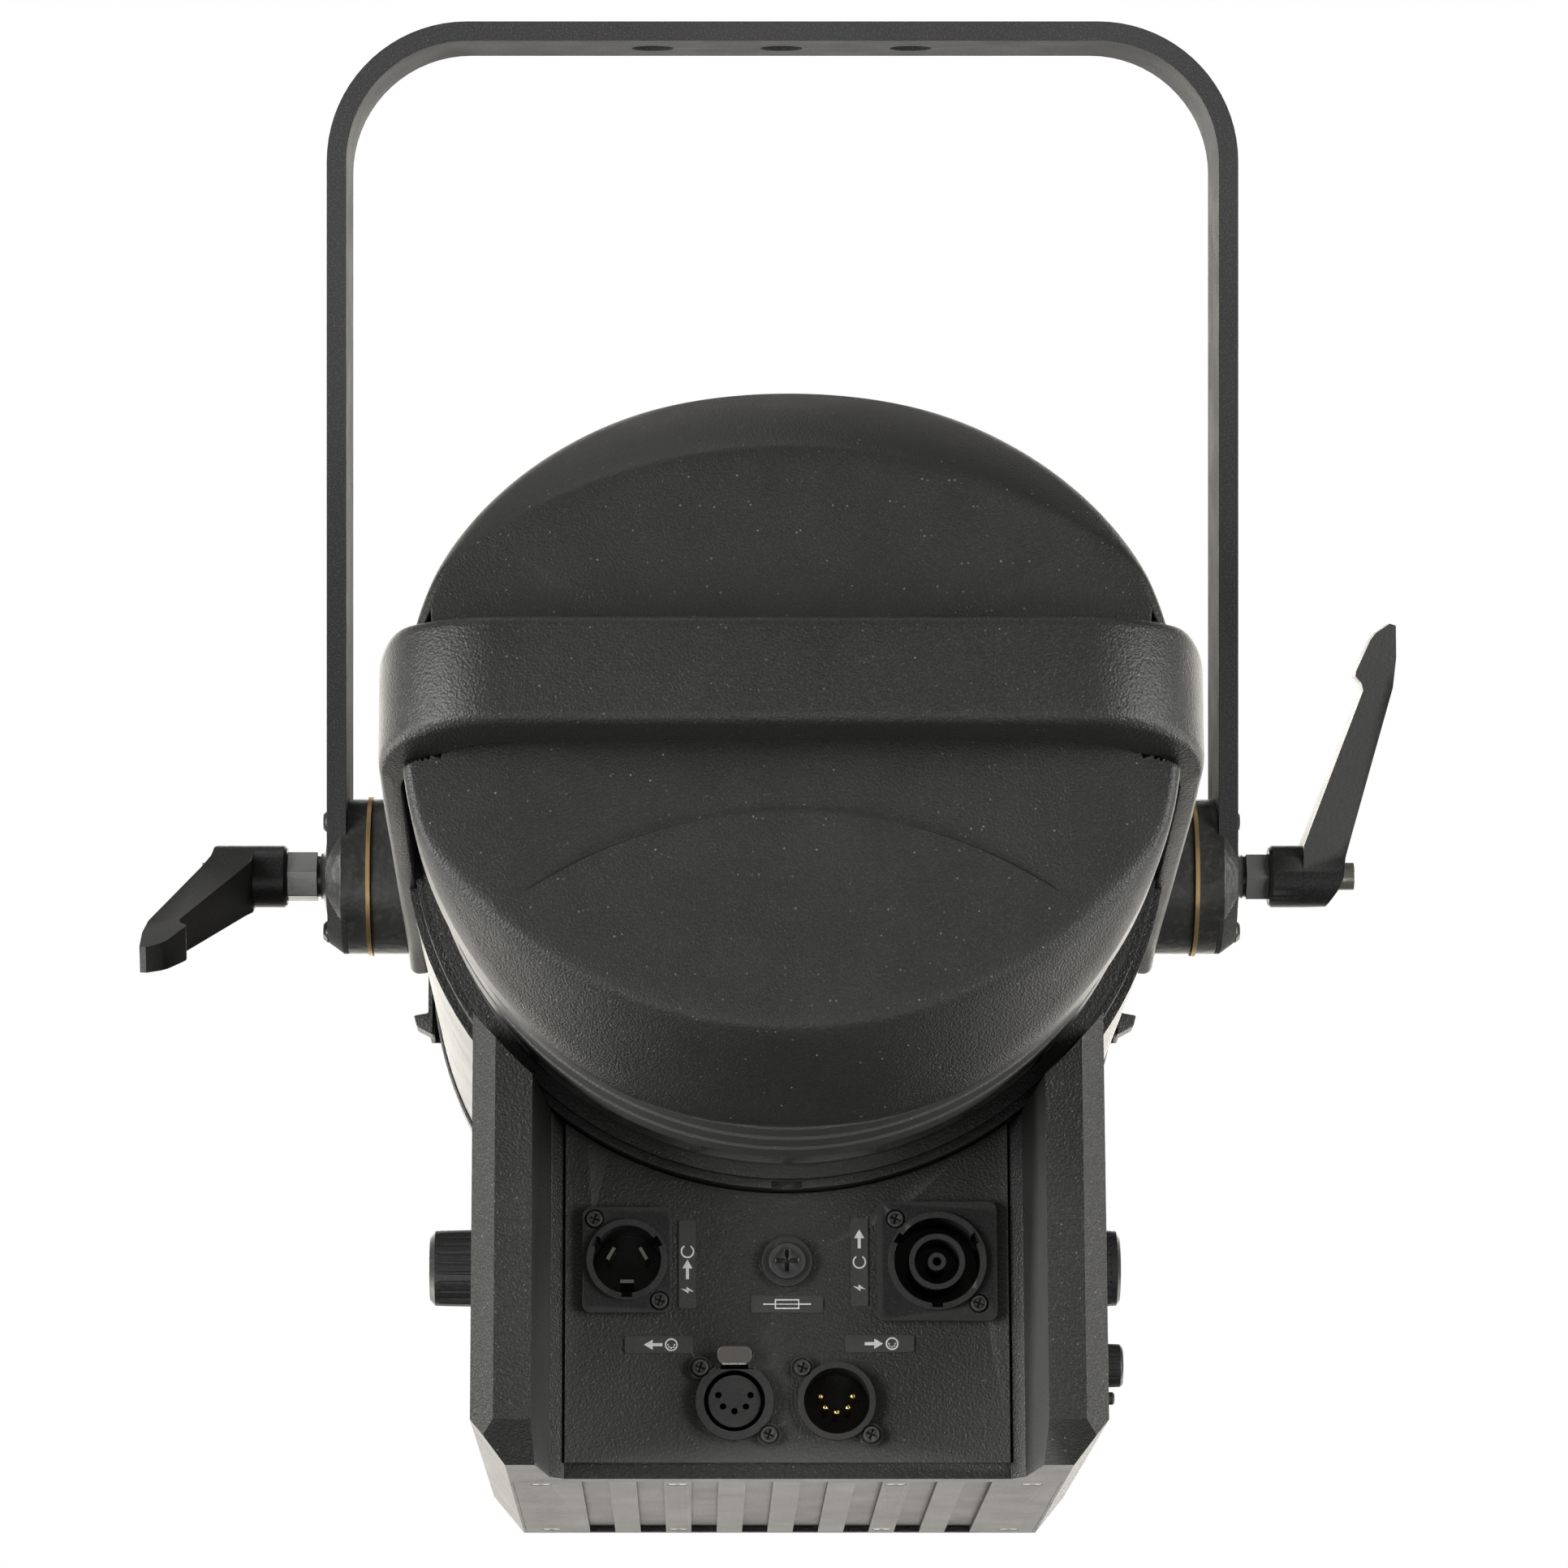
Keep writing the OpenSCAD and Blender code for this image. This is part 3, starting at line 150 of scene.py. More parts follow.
def coated(name, base, grain=1400.0, bump=0.25, rough=(0.42, 0.55), flecks=0.0, metallic=0.0,
           edge_highlight_colour=(0.16, 0.16, 0.155), edge_highlight_amount=0.35, specular=0.5):
    """Powder coat or textured moulding: fine grain, slow colour drift, painted highlights on convex edges, pale
    flecks.

    grain is the texture's scale, bump its depth, rough the lowest and highest roughness, flecks the
    strength of the dust, and edge_highlight_amount how far the convex edges go towards edge_highlight_colour, the
    painted edge highlight.
    """
    material, tree, shader, coords = new_material(name)
    drift = noise(tree, coords, 14.0, 4.0)
    lighter = tuple(min(1.0, c * 1.22) for c in base)
    colour = mix_colour(tree, ramp(tree, drift, 0.0, 1.0, 0.35, 0.65), base, lighter)
    speck = noise(tree, coords, grain * 1.5, 2.0, 0.6)
    bright = tuple(min(1.0, c * 2.2 + 0.006) for c in base)
    colour = mix_colour(tree, ramp(tree, speck, 0.0, SPECKLE, 0.50, 0.68), colour, bright)
    # Painted highlight: convex edges are lightened towards a paler colour
    colour = painted_edge_highlight(tree, colour, edge_highlight_colour, edge_highlight_amount)
    if flecks:
        cells = tree.nodes.new("ShaderNodeTexVoronoi")
        cells.inputs["Scale"].default_value = FLECK_SCALE
        cells.inputs["Randomness"].default_value = 1.0
        tree.links.new(coords, cells.inputs["Vector"])
        dot = ramp(tree, cells.outputs["Distance"], flecks, 0.0, 0.08, 0.2)
        sparse = ramp(tree, cells.outputs["Color"], 0.0, 1.0, 0.70, 0.90)
        colour = mix_colour(tree, multiply(tree, dot, sparse), colour, FLECK_COLOUR)
    tree.links.new(colour, shader.inputs["Base Color"])
    shader.inputs["Metallic"].default_value = metallic
    shader.inputs["Specular IOR Level"].default_value = specular
    grit = noise(tree, coords, grain, 2.0)
    tree.links.new(ramp(tree, noise(tree, coords, 60.0, 3.0), rough[0], rough[1], 0.3, 0.7),
                   shader.inputs["Roughness"])
    add_bump(tree, shader, grit, bump, 0.0004)
    return material


def metal(name, base, rough=0.3, brush=0.0):
    """Bare metal with slight smears and a fine bump, its grain finer when brush is set."""
    material, tree, shader, coords = new_material(name)
    smear = noise(tree, coords, 90.0, 5.0)
    darker = tuple(c * 0.72 for c in base)
    tree.links.new(mix_colour(tree, ramp(tree, smear, 0.0, 1.0, 0.35, 0.7), base, darker),
                   shader.inputs["Base Color"])
    shader.inputs["Metallic"].default_value = 1.0
    tree.links.new(ramp(tree, smear, rough * 0.8, rough * 1.4, 0.3, 0.7), shader.inputs["Roughness"])
    add_bump(tree, shader, noise(tree, coords, 700.0 + brush, 2.0), 0.12, 0.0002)
    return material


def clear_glass(name):
    material, tree, shader, coords = new_material(name)
    shader.inputs["Transmission Weight"].default_value = 1.0
    shader.inputs["IOR"].default_value = 1.49
    shader.inputs["Base Color"].default_value = (0.93, 0.97, 0.98, 1.0)
    tree.links.new(ramp(tree, noise(tree, coords, 40.0), 0.02, 0.08), shader.inputs["Roughness"])
    return material


def solder_mask(name, base, trace):
    """A circuit board's lacquer with faint tracks under it."""
    material, tree, shader, coords = new_material(name)
    wave = tree.nodes.new("ShaderNodeTexWave")
    wave.inputs["Scale"].default_value = 110.0
    wave.inputs["Distortion"].default_value = 3.0
    tree.links.new(coords, wave.inputs["Vector"])
    tree.links.new(mix_colour(tree, ramp(tree, wave.outputs["Fac"], 0.0, 0.5, 0.7, 0.9), base, trace),
                   shader.inputs["Base Color"])
    shader.inputs["Roughness"].default_value = 0.35
    return material


MATERIALS = {
    "casting": coated("casting", (0.0128, 0.0132, 0.0128), 1300.0, 0.85, (0.41, 0.46), 0.8),
    "yoke_paint": coated("yoke_paint", (0.030, 0.031, 0.031), 1300.0, 0.30, (0.66, 0.76), 0.2,
                         specular=0.10),
    "moulding": coated("moulding", (0.0122, 0.0126, 0.0122), 1500.0, 0.65, (0.43, 0.50), 0.9),
    "lever_paint": coated("lever_paint", (0.013, 0.0135, 0.0135), 1100.0, 0.25, (0.36, 0.46), 0.1,
                          specular=0.3),
    "black_steel": coated("black_steel", (0.016, 0.016, 0.016), 900.0, 0.1, (0.26, 0.34),
                          metallic=0.4, edge_highlight_colour=(0.3, 0.3, 0.3), edge_highlight_amount=0.8),
    "bright_steel": metal("bright_steel", (0.74, 0.72, 0.67), 0.22),
    "friction_brass": metal("friction_brass", (0.62, 0.44, 0.22), 0.42),
    "bushing_brass": metal("bushing_brass", (0.78, 0.60, 0.30), 0.28),
    "gold_contact": metal("gold_contact", (0.90, 0.66, 0.25), 0.18),
    "fin_aluminium": metal("fin_aluminium", (0.62, 0.63, 0.65), 0.36, 300.0),
    "connector_plastic": coated("connector_plastic", (0.017, 0.017, 0.0175), 1200.0, 0.15,
                                (0.30, 0.38), edge_highlight_colour=(0.14, 0.14, 0.14), edge_highlight_amount=0.7),
    "knob_plastic": coated("knob_plastic", (0.014, 0.014, 0.0145), 1000.0, 0.15, (0.38, 0.46),
                           edge_highlight_colour=(0.07, 0.07, 0.07)),
    "fan_plastic": coated("fan_plastic", (0.012, 0.012, 0.012), 500.0, 0.05, (0.25, 0.32)),
    "lens_glass": clear_glass("lens_glass"),
    "display_glass": coated("display_glass", (0.01, 0.02, 0.06), 200.0, 0.02, (0.06, 0.1)),
    "label_film": coated("label_film", (0.018, 0.018, 0.019), 800.0, 0.06, (0.30, 0.36)),
    "circuit_board": solder_mask("circuit_board", (0.02, 0.12, 0.05), (0.10, 0.30, 0.14)),
    "board_white": solder_mask("board_white", (0.80, 0.80, 0.77), (0.65, 0.66, 0.62)),
    "phosphor": coated("phosphor", (0.75, 0.55, 0.10), 600.0, 0.1, (0.3, 0.4)),
    "supply_case": metal("supply_case", (0.55, 0.56, 0.58), 0.4, 200.0),
    "rough_casting": coated("rough_casting", (0.018, 0.018, 0.018), 260.0, 0.9, (0.36, 0.48), 0.1),
    "print_white": coated("print_white", (0.62, 0.62, 0.60), 900.0, 0.05, (0.5, 0.6), edge_highlight_colour=(0.7, 0.7, 0.7)),
}
SLOTS = {s["node"]: s["material_slot"] for s in frame["record"]["subparts"]}


# ---- shapes that follow a CAD node, with its edges rounded -----------------------------------

WELD = 2e-6                      # points closer than this, in metres, become one
SHARP = math.radians(28.0)       # edges sharper than this are rounded
FLAT = math.radians(0.6)         # faces that meet flatter than this become one


def finish_mesh(obj, node_slot, body):
    """Gives a piece its material and the body that carries it."""
    obj.data.materials.clear()
    obj.data.materials.append(MATERIALS[node_slot])
    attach(obj, body)


def shade(obj, angle):
    """Smooth shading that stays crisp where faces meet at more than angle, in degrees."""
    for polygon in obj.data.polygons:
        polygon.use_smooth = True
    mesh = obj.data
    built = bmesh.new()
    built.from_mesh(mesh)
    for edge in built.edges:
        crisp = len(edge.link_faces) == 2 and edge.calc_face_angle(0.0) > math.radians(angle)
        edge.smooth = not crisp
    built.to_mesh(mesh)
    built.free()


def refined(node, width, segments):
    """A copy of a CAD node's shape, its edges rounded by width in mm. It stands for the node."""
    source = frame["nodes"][node]
    mesh = source.data.copy()
    mesh.name = node + "_shape"
    built = bmesh.new()
    built.from_mesh(mesh)
    bmesh.ops.remove_doubles(built, verts=built.verts, dist=WELD)
    bmesh.ops.dissolve_limit(built, angle_limit=FLAT, verts=built.verts, edges=built.edges,
                             delimit=set())
    sharp = [e for e in built.edges
             if len(e.link_faces) == 2 and e.calc_face_angle(0.0) > SHARP]
    bmesh.ops.bevel(built, geom=sharp, offset=width * MM, offset_type="OFFSET", segments=segments,
                    profile=0.6, affect="EDGES", clamp_overlap=True, harden_normals=False)
    built.to_mesh(mesh)
    built.free()
    obj = bpy.data.objects.new(node + "_look", mesh)
    bpy.context.scene.collection.objects.link(obj)
    shade(obj, 40.0)
    normals = obj.modifiers.new("even_normals", "WEIGHTED_NORMAL")
    normals.keep_sharp = True
    finish_mesh(obj, SLOTS[node], NODE_BODY[node])
    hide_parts(node)


for name in frame["nodes"]:
    frame["nodes"][name].data.materials.clear()
    frame["nodes"][name].data.materials.append(MATERIALS[SLOTS[name]])


def build(name, points, faces, slot, body, node=None, angle=40.0):
    """A piece from points in metres. It stands for node when one is given."""
    mesh = bpy.data.meshes.new(name)
    mesh.from_pydata([tuple(p) for p in points], [], faces)
    built = bmesh.new()
    built.from_mesh(mesh)
    bmesh.ops.remove_doubles(built, verts=built.verts, dist=WELD)
    bmesh.ops.recalc_face_normals(built, faces=built.faces)
    built.to_mesh(mesh)
    built.free()
    obj = bpy.data.objects.new(name, mesh)
    bpy.context.scene.collection.objects.link(obj)
    shade(obj, angle)
    finish_mesh(obj, slot, body)
    if node:
        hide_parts(node)


# The handle's underside seen from its side, in mm about the tilt axis
HANDLE_UNDER = [(-226, -2), (-209, -5), (-190, -9.5), (-150, -14.5), (-7, -25.5), (12, -28.5),
                (28, -21), (36, -8)]


def outline_at(points, y):
    """Linear interpolation through (y, z) points that run along y."""
    for (y0, z0), (y1, z1) in zip(points, points[1:]):
        if y <= y1:
            return z0 + (z1 - z0) * max(0.0, (y - y0)) / (y1 - y0)
    return points[-1][1]


# ---- rear cap ---------------------------------------------------------------------------------

def soft_positive(value, width):
    """Zero below 0 and value above it, with a smooth turn."""
    return 0.5 * (value + math.sqrt(value * value + width * width))


def rear_cap():
    low, high = head_box("rear_cap")
    radius, lift = high.x, 2.0
    rear, lip = low.y, high.y
    rim, wall = 3.0, 3.0
    # Upper and lower bevels: axis height, radius at the crease, slope and bulge
    upper, lower = (-70.5, 153.0, 1.15, 0.0096), (41.5, 125.0, 1.30, 0.0099)
    trough_half, trough_depth, trough_edge = 78.0, 4.0, 24.5
    arc = (77.0 ** 2 + 25.0 ** 2) / (2 * 25.0)
    handle_low = head_box("carry_handle")[0]
    corner_x, corner_y, corner_r = radius + 0.5 - 33.0, handle_low.y + 16.0 + 33.0, 32.6
    notch_high = 29.0

    def arc_z(x):
        return trough_edge + arc - math.sqrt(arc * arc - x * x)

    def lip_radius(bevel):
        """Radius of a bevel where it meets the lip."""
        reach = lip - 0.4 - rear
        return bevel[1] + (math.sqrt(bevel[2] ** 2 + 4 * bevel[3] * reach) - bevel[2]) / (2 * bevel[3])

    def ends(x):
        """Lowest and highest point of the cap's outline at x."""
        half = math.sqrt(radius * radius - x * x)
        up, down = lip_radius(upper), lip_radius(lower)
        top, cut = lift + half, upper[0] + math.sqrt(up * up - x * x) + 0.5
        return (max(lift - half, lower[0] - math.sqrt(down * down - x * x)),
                0.5 * (top + cut - math.sqrt((top - cut) ** 2 + 3.0 ** 2 * min(half / 20, 1) ** 2)))

    def depth(x, z, in_trough):
        rise = 0.0
        for axis, crease, slope, bulge in (upper, lower):
            s = soft_positive(math.hypot(x, z - axis) - crease, 1.8) - 0.04
            rise = max(rise, slope * max(s, 0.0) + bulge * s * s)
        r = math.hypot(x, z - lift)
        edge = r - (radius - rim)
        if edge > 0:
            rise += rim - math.sqrt(max(rim * rim - min(edge, rim) ** 2, 0.0))
        if in_trough and abs(x) < trough_half:
            rise += trough_depth * (1 - (x / trough_half) ** 2)
        y = rear + rise
        if abs(x) > corner_x and z < notch_high:
            notch = corner_y - math.sqrt(max(corner_r ** 2 - (abs(x) - corner_x) ** 2, 0.0))
            if z > outline_at(HANDLE_UNDER, notch) + 0.8:
                y = max(y, notch)
        return min(y, lip - 0.4)

    def rows_from(start, end, crease):
        """Places from a trough edge out to the rim, close together at the crease and the rim."""
        sign = 1 if end > start else -1
        length = abs(end - start)
        bend = min(max(abs(crease - start), 0.3 * length), 0.9 * length)
        near = min(0.9, 0.06 * length)
        places = [(bend - near) * i / 20 for i in range(20)]
        places += [bend + near * k for k in (-1, -0.5, 0, 0.5)]
        rest = length - bend - near
        places += [bend + near + rest * 0.9 * i / 14 for i in range(14)]
        places += [bend + near + rest * (1 - t) for t in (0.1, 0.07, 0.045, 0.025, 0.01, 0.0)]
        return [start + sign * place for place in places]

    columns, step = 300, 0.40
    middle = [i / 40 for i in range(1, 40)]
    outer, inner = [], []
    rows = 0
    for c in range(columns + 1):
        angle = math.pi * (c / columns - 0.5)
        x = radius * math.sin(angle) * 0.99995
        bottom, top = ends(x)
        half = (top - bottom) / 2
        edge = min(arc_z(x), 0.8 * half) if abs(x) < arc else 0.8 * half
        down, over = lift - edge, lift + edge
        low_crease = lower[0] - math.sqrt(lower[1] ** 2 - x * x)
        high_crease = upper[0] + math.sqrt(upper[1] ** 2 - x * x)
        soft = min(6.0, 0.4 * edge)
        cells = [(z, False) for z in reversed(rows_from(down - step, bottom, low_crease))]
        cells += [(down + step + (2 * edge - step - soft) * t, True) for t in [0.0] + middle + [1.0]]
        cells += [(z, False) for z in rows_from(over, top, high_crease)]
        rows = len(cells)
        shrink = (radius - wall) / radius
        for z, in_trough in cells:
            y = depth(x, z, in_trough)
            outer.append(Vector((x, y, z)))
            inner.append(Vector((x * shrink, min(y + 3.4, lip), (z - lift) * shrink + lift)))
    count = len(outer)
    faces = []
    for c in range(columns):
        for k in range(rows - 1):
            a, b = c * rows + k, (c + 1) * rows + k
            faces.append((a, b, b + 1, a + 1))
            faces.append((count + a, count + a + 1, count + b + 1, count + b))
    loop = [c * rows for c in range(columns + 1)] + [c * rows + rows - 1 for c in range(columns, -1, -1)]
    points = outer + inner
    rims = []
    for y, inside in ((lip - 0.5, False), (lip, False), (lip, True)):
        start = len(points)
        for i in loop:
            p = outer[i]
            s = 1.0 if not inside else (radius - wall + 0.05) / radius
            grow = 1.0 if inside or y < lip else (radius - 0.4) / radius
            points.append(Vector((p.x * s * grow, y, (p.z - lift) * s * grow + lift)))
        rims.append(start)
    n = len(loop)
    rings = [loop, [rims[0] + i for i in range(n)], [rims[1] + i for i in range(n)],
             [rims[2] + i for i in range(n)], [count + i for i in loop]]
    for a, b in zip(rings, rings[1:]):
        for i in range(n):
            k = (i + 1) % n
            faces.append((a[i], a[k], b[k], b[i]))
    build("rear_cap_look", [HEAD_MM @ p for p in points], faces, SLOTS["rear_cap"], "head",
          "rear_cap", 30.0)


# ---- carry handle -------------------------------------------------------------------------------

def carry_handle():
    low, high = head_box("carry_handle")
    cap_high = head_box("rear_cap")[1]
    arm_out, rear, front = high.x, low.y, high.y
    arm_in = cap_high.x + 0.5
    out_r, in_r, depth = 34.0, 33.0, 16.0
    under = HANDLE_UNDER
    over = [(rear - 1, 28), (0, 28), (26, 24), (front, 14)]
    shoulder = 9.0
    outer_c = Vector((arm_out - out_r, rear + out_r))
    inner_c = Vector((arm_in - in_r, rear + depth + in_r))
    stations = []
    for i in range(21):
        t = i / 20
        stations.append((Vector((outer_c.x * t, rear)), Vector((inner_c.x * t, rear + depth))))
    for i in range(1, 25):
        a = math.pi / 2 * (i / 24)
        d = Vector((math.sin(a), -math.cos(a)))
        stations.append((outer_c + d * out_r, inner_c + d * in_r))
    steps = [i / 40 for i in range(1, 34)] + [0.86 + 0.14 * i / 18 for i in range(19)]
    for t in steps:
        stations.append((Vector((arm_out, outer_c.y + (front - outer_c.y) * t)),
                         Vector((arm_in, inner_c.y + (front - inner_c.y) * t))))
    mirrored = [(Vector((-o.x, o.y)), Vector((-i.x, i.y))) for o, i in reversed(stations[1:])]
    stations = mirrored + stations
    points, size = [], 0
    last = len(stations) - 1
    for index, (o, i) in enumerate(stations):
        thick = (i - o).length
        along = (i - o).normalized()
        ro, ri = min(3.2, thick * 0.42), min(1.8, thick * 0.28)
        end = min(index, last - index)
        pinch = (1.1, 0.45, 0.12)[end] if end < 3 else 0.0
        ring = []
        for corner, radius, start in (("ol", ro, 180), ("il", ri, 270), ("ih", ri, 0), ("oh", ro, 90)):
            for k in range(6):
                a = math.radians(start + 90 * k / 5)
                ring.append((corner, radius, math.cos(a), math.sin(a)))
        for corner, radius, ca, sa in ring:
            u = (radius + radius * ca) if corner[0] == "o" else (thick - radius + radius * ca)
            u = min(max(u, pinch), thick - pinch)
            p = o + along * u
            lo, hi = outline_at(under, p.y), outline_at(over, p.y)
            past = min(max(0.0, abs(p.x) - (arm_out - shoulder)), shoulder)
            hi = min(hi, 28 - shoulder + math.sqrt(shoulder * shoulder - past * past * 0.94))
            if corner[1] == "l":
                z = lo + radius + radius * sa + pinch
            else:
                z = hi - radius + radius * sa - pinch
            points.append(Vector((p.x, p.y, z)))
        size = len(ring)
    faces = []
    for s in range(last):
        for k in range(size):
            m = (k + 1) % size
            faces.append((s * size + k, s * size + m, (s + 1) * size + m, (s + 1) * size + k))
    faces.append(tuple(reversed(range(size))))
    faces.append(tuple(last * size + k for k in range(size)))
    build("carry_handle_look", [HEAD_MM @ p for p in points], faces, SLOTS["carry_handle"], "head",
          "carry_handle", 50.0)


# ---- printed symbols -------------------------------------------------------------------------------

PRINT_STAND = 0.06               # how far a print stands out of its label, mm


def flat_symbol(name, shapes, place, turn):
    """Printed marks on the rear panel: outlines in mm about place, as thin raised prints."""
    points, faces = [], []
    y = head_box("panel_labels")[0].y
    ca, sa = math.cos(math.radians(turn)), math.sin(math.radians(turn))
    for shape in shapes:
        start, n = len(points), len(shape)
        for depth in (y - PRINT_STAND, y - 0.005):
            for u, v in shape:
                points.append(Vector((place[0] + u * ca - v * sa, depth, place[1] + u * sa + v * ca)))
        faces.append(tuple(range(start, start + n)))
        faces.append(tuple(reversed(range(start + n, start + 2 * n))))
        for k in range(n):
            m = (k + 1) % n
            faces.append((start + k, start + n + k, start + n + m, start + m))
    build(name, [HEAD_MM @ p for p in points], faces, "print_white", "head")


def bar(u0, v0, u1, v1):
    """A rectangle from its two opposite corners."""
    return [(u0, v0), (u1, v0), (u1, v1), (u0, v1)]


def arrow(tip, tail, half=1.5, shaft=0.45):
    """An arrow along u, from tail to tip."""
    neck = tip - math.copysign(2.6, tip - tail)
    return [[(tip, 0.0), (neck, half), (neck, -half)],
            bar(min(tail, neck), -shaft, max(tail, neck), shaft)]


def ring_marks(u, radius, width, a0, a1, parts=20):
    """Part of a ring about (u, 0), from angle a0 to a1 in degrees."""
    shape = []
    for r, order in ((radius, 1), (radius - width, -1)):
        line = [(u + r * math.cos(math.radians(a0 + (a1 - a0) * i / parts)),
                 r * math.sin(math.radians(a0 + (a1 - a0) * i / parts))) for i in range(parts + 1)]
        shape += line[::order]
    return [shape]


def bolt(u):
    """A small lightning bolt about (u, 0)."""
    return [[(u + 0.5, 1.9), (u - 1.0, -0.3), (u + 0.05, -0.3)],
            [(u - 0.5, -1.9), (u + 1.0, 0.3), (u - 0.05, 0.3)]]


def printed_symbols():
    """The generic marks on the five label plates; places are in mm about the tilt axis."""
    mains = bolt(-7.6)
    socket = ring_marks(3.8, 2.0, 0.45, 30, 330)
    data = ring_marks(3.6, 1.9, 0.45, 0, 359)
    for k in range(4, 9):
        pin_u = 3.6 + 0.95 * math.cos(math.pi * k / 4)
        pin_v = 0.95 * math.sin(math.pi * k / 4)
        data.append(bar(pin_u - 0.22, pin_v - 0.22, pin_u + 0.22, pin_v + 0.22))
    fuse = [bar(-3.6, 1.05, 3.6, 1.45), bar(-3.6, -1.45, 3.6, -1.05), bar(-3.6, -1.05, -3.2, 1.05),
            bar(3.2, -1.05, 3.6, 1.05), bar(-7.0, -0.2, -3.6, 0.2), bar(3.6, -0.2, 7.0, 0.2),
            bar(-3.2, -0.14, 3.2, 0.14)]
    flat_symbol("print_power_in", mains + arrow(1.4, -4.4) + socket, (-29.1, -132.5), 90)
    flat_symbol("print_power_out", mains + arrow(9.6, 4.0) + ring_marks(0.0, 2.0, 0.45, 30, 330),
                (21.2, -131.8), 90)
    flat_symbol("print_fuse", fuse, (0.0, -144.2), 0)
    flat_symbol("print_data_out", data + arrow(-4.4, 1.0), (-37.4, -156.1), 0)
    flat_symbol("print_data_in", data + arrow(1.0, -4.4), (27.0, -155.8), 0)


# Width of the rounded edges in mm and the number of steps across them
ROUNDED = {
    "yoke_bar": (0.9, 3), "yoke_clutch_discs": (0.5, 2), "pivot_bosses": (0.6, 2),
    "clutch_screws": (0.25, 1), "flange_washers": (0.12, 1),
    "lever_arm_left": (1.1, 3), "lever_arm_right": (1.1, 3),
    "lever_stud_left": (0.3, 1), "lever_stud_right": (0.3, 1),
    "lever_screw_left": (0.3, 2), "lever_screw_right": (0.3, 2),
    "vent_grille": (0.3, 1), "drum_body": (0.4, 2), "front_bezel": (0.6, 2),
    "accessory_holders": (0.35, 1), "accessory_latch": (0.35, 1), "bezel_screws": (0.15, 1),
    "housing_shell": (1.1, 3), "base_plate": (0.4, 1), "rear_panel": (0.25, 1),
    "zoom_knob_left": (0.35, 2), "zoom_knob_right": (0.35, 2), "menu_knob": (0.25, 1),
    "power_inlet": (0.3, 2), "power_outlet": (0.3, 2), "fuse_holder": (0.4, 2), "fuse_cap": (0.25, 1),
    "data_outlet": (0.25, 2), "data_inlet": (0.25, 2), "data_latch": (0.3, 2),
    "connector_screws": (0.15, 1), "control_panel": (0.15, 1), "display_window": (0.1, 1),
}
for name, (width, segments) in ROUNDED.items():
    refined(name, width, segments)
rear_cap()
carry_handle()
printed_symbols()


# ---- stage, light and camera --------------------------------------------------------------------

def area_light(name, place, target, size, power, colour, size_y):
    """A soft rectangular light at place that faces target."""
    data = bpy.data.lights.new(name, "AREA")
    data.shape = "RECTANGLE"
    data.size = size
    data.size_y = size_y or size
    data.energy = power
    data.color = colour
    light = bpy.data.objects.new(name, data)
    bpy.context.scene.collection.objects.link(light)
    light.location = place
    light.rotation_euler = (Vector(target) - Vector(place)).to_track_quat("-Z", "Y").to_euler()
    light.visible_camera = False


FLOOR_GLOW = 0.80
FLOOR_DROP = 0.35                # below the object's lowest point, m
ROOM_BACK, ROOM_FRONT = 0.11, 5.2
WHITE = (1.0, 1.0, 1.0, 1.0)


def backdrop():
    """A plain pale floor under the object; beyond it the pale room shows."""
    material, tree, shader, coords = new_material("pale_floor")
    tint = mix_colour(tree, noise(tree, coords, 3.0), (0.86, 0.86, 0.855), (0.89, 0.89, 0.885))
    tree.links.new(tint, shader.inputs["Base Color"])
    tree.links.new(tint, shader.inputs["Emission Color"])
    shader.inputs["Emission Strength"].default_value = FLOOR_GLOW
    shader.inputs["Roughness"].default_value = 0.9
    floor_z = CAD_BOX[0][2] - FLOOR_DROP
    near, far, half = -3.5, 2.2, 3.5
    points = [(x, y, floor_z) for x in (-half, half) for y in (near, far)]
    mesh = bpy.data.meshes.new("floor")
    mesh.from_pydata(points, [], [(0, 2, 3, 1)])
    floor = bpy.data.objects.new("floor", mesh)
    bpy.context.scene.collection.objects.link(floor)
    floor.visible_diffuse = False
    floor.visible_glossy = False
    mesh.materials.append(material)


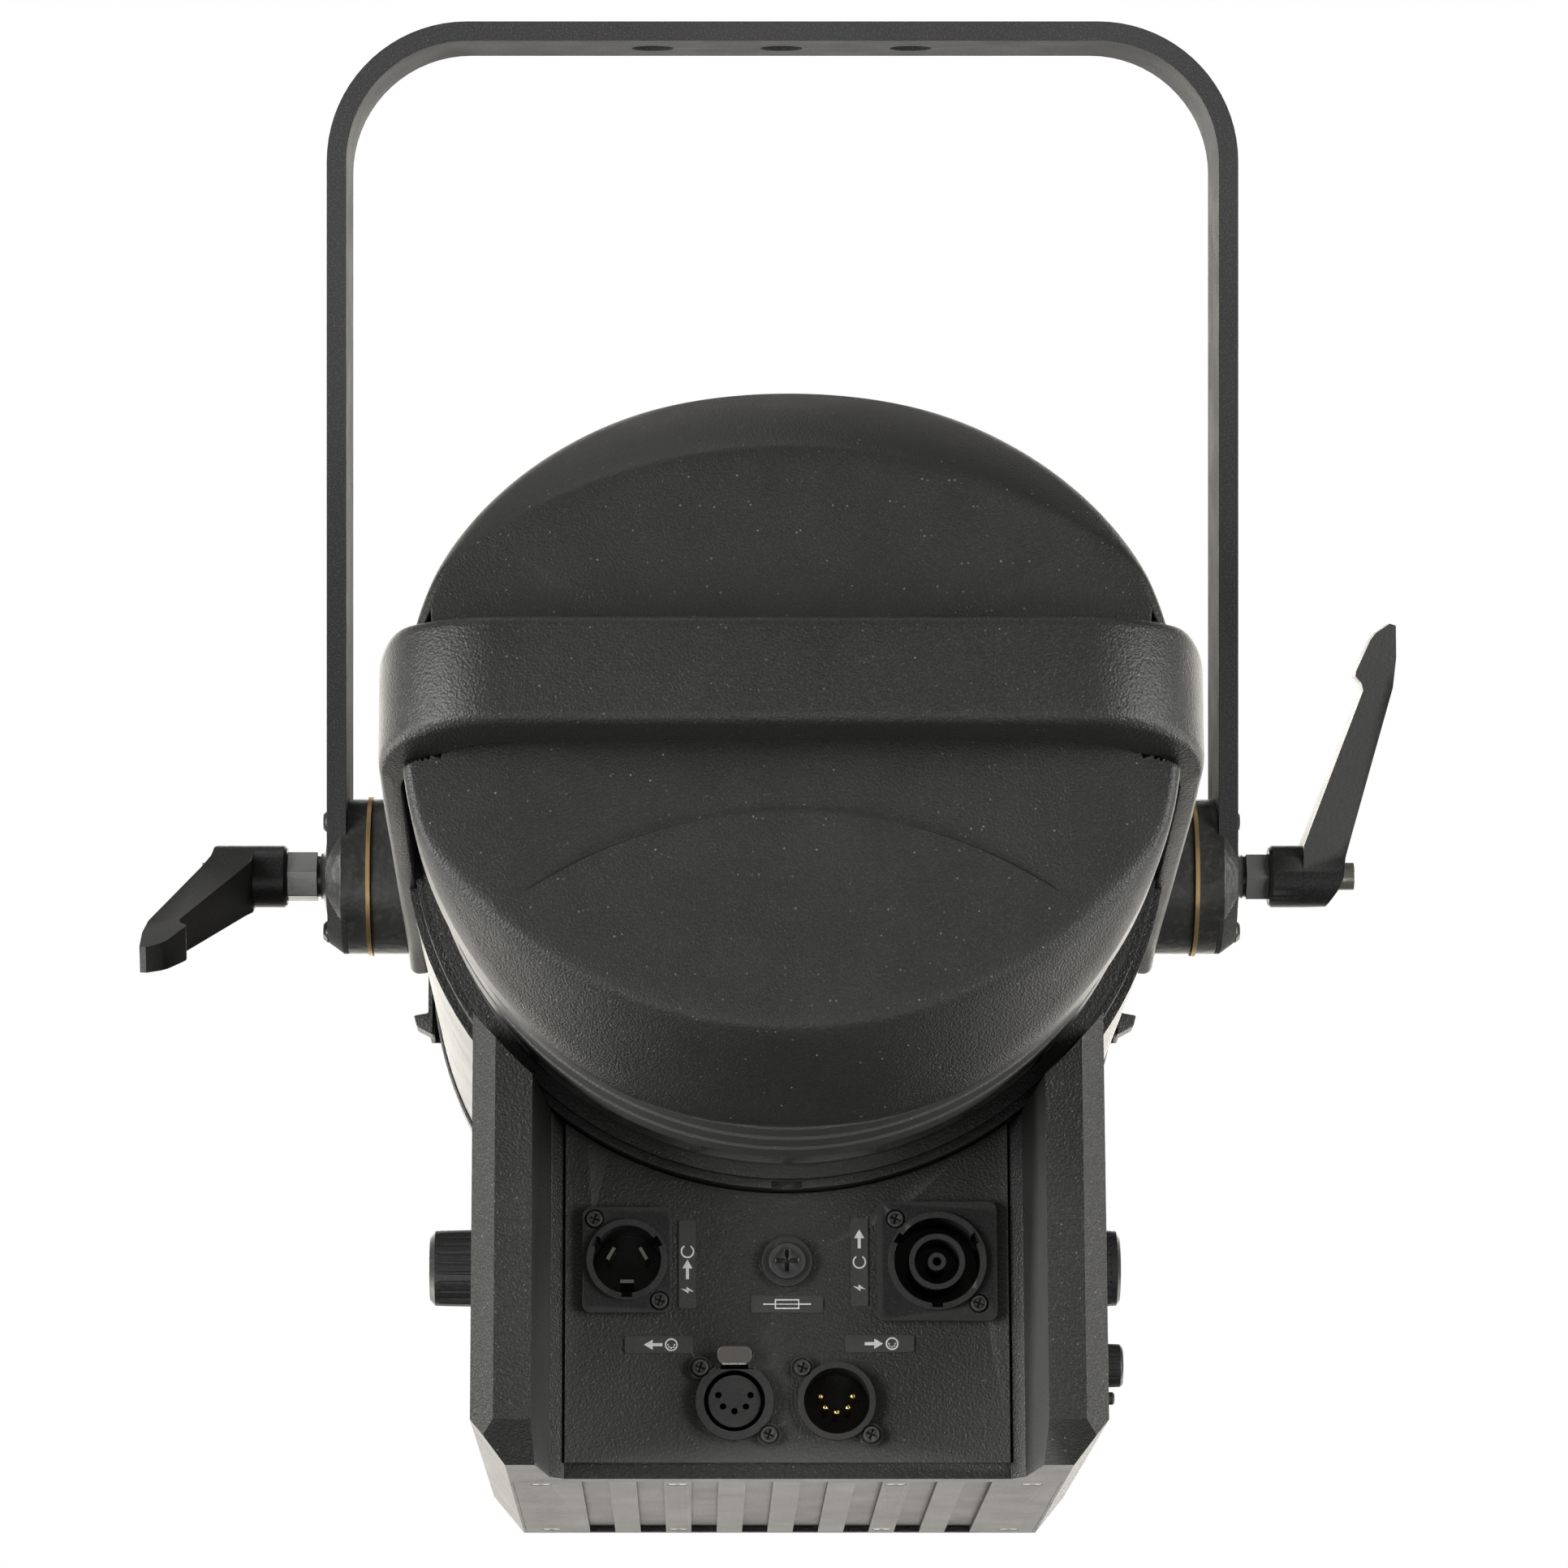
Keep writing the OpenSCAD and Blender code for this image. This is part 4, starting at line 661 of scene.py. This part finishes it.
def room():
    """A dim room that is bright ahead of the object, close to its own height."""
    world = bpy.data.worlds.new("studio")
    world.use_nodes = True
    tree = world.node_tree
    background = tree.nodes["Background"]
    coords = tree.nodes.new("ShaderNodeTexCoord")
    split = tree.nodes.new("ShaderNodeSeparateXYZ")
    tree.links.new(coords.outputs["Generated"], split.inputs["Vector"])
    ahead = ramp(tree, split.outputs["Y"], 0.0, 1.0, 0.42, 0.90)
    over = ramp(tree, split.outputs["Z"], 1.0, 0.0, 0.22, 0.50)
    ground = ramp(tree, split.outputs["Z"], 0.34, 1.0, -0.36, -0.10)
    under = ramp(tree, split.outputs["Z"], 0.0, 1.0, -0.90, -0.62)
    glow = multiply(tree, multiply(tree, ahead, over), multiply(tree, ground, under))
    tree.links.new(ramp(tree, glow, ROOM_BACK, ROOM_FRONT), background.inputs["Strength"])
    background.inputs["Color"].default_value = (1.0, 0.965, 0.89, 1.0)
    # Straight from the camera the room is plain and pale in every direction
    seen = tree.nodes.new("ShaderNodeBackground")
    seen.inputs["Color"].default_value = WHITE
    path, mix = tree.nodes.new("ShaderNodeLightPath"), tree.nodes.new("ShaderNodeMixShader")
    tree.links.new(path.outputs["Is Camera Ray"], mix.inputs["Fac"])
    tree.links.new(background.outputs["Background"], mix.inputs[1])
    tree.links.new(seen.outputs["Background"], mix.inputs[2])
    tree.links.new(mix.outputs["Shader"], tree.nodes["World Output"].inputs["Surface"])
    bpy.context.scene.world = world


# Name, place about the tilt axis in metres, width, power in watts, colour, height if not square
LIGHTS = [
    ("key", (-1.1, -1.6, 1.1), 0.9, 2.2, (1.0, 1.0, 1.0), None),
    ("fill", (1.3, -1.5, 0.7), 0.9, 1.7, (1.0, 1.0, 1.0), None),
    ("left_strip", (-1.45, -0.95, 0.0), 0.75, 44, (1.0, 1.0, 0.98), 1.3),
    ("right_strip", (1.45, -0.95, 0.0), 0.75, 34, (1.0, 1.0, 0.98), 1.3),
    ("left_side", (-1.65, 0.60, -1.2), 1.2, 30, (1.0, 0.97, 0.90), None),
    ("right_side", (1.65, 0.60, -1.2), 1.2, 24, (1.0, 0.97, 0.90), None),
    ("top", (-0.35, 0.30, 1.8), 1.0, 4.5, (1.0, 1.0, 1.0), None),
    ("low_fill", (-0.2, -1.7, -0.75), 0.8, 4.6, (1.0, 1.0, 1.0), None),
]


def studio():
    for name, place, size, power, colour, size_y in LIGHTS:
        area_light(name, PIVOT + Vector(place), PIVOT, size, power, colour, size_y)
    room()
    bpy.context.scene.view_settings.view_transform = "Standard"


def camera():
    """The viewing position: 1.9 m behind the tilt axis, a little to the left and above it."""
    data = bpy.data.cameras.new("camera")
    data.sensor_width = 36.0
    data.lens = 140.5528
    data.shift_x, data.shift_y = 0.057453, -0.009834
    data.clip_end = 50.0
    eye = bpy.data.objects.new("camera", data)
    bpy.context.scene.collection.objects.link(eye)
    eye.location = PIVOT + Vector((-0.0272, -1.9, 0.0335))
    eye.rotation_euler = (math.radians(90.0), 0.0, 0.0)
    bpy.context.scene.camera = eye


backdrop()
studio()
camera()
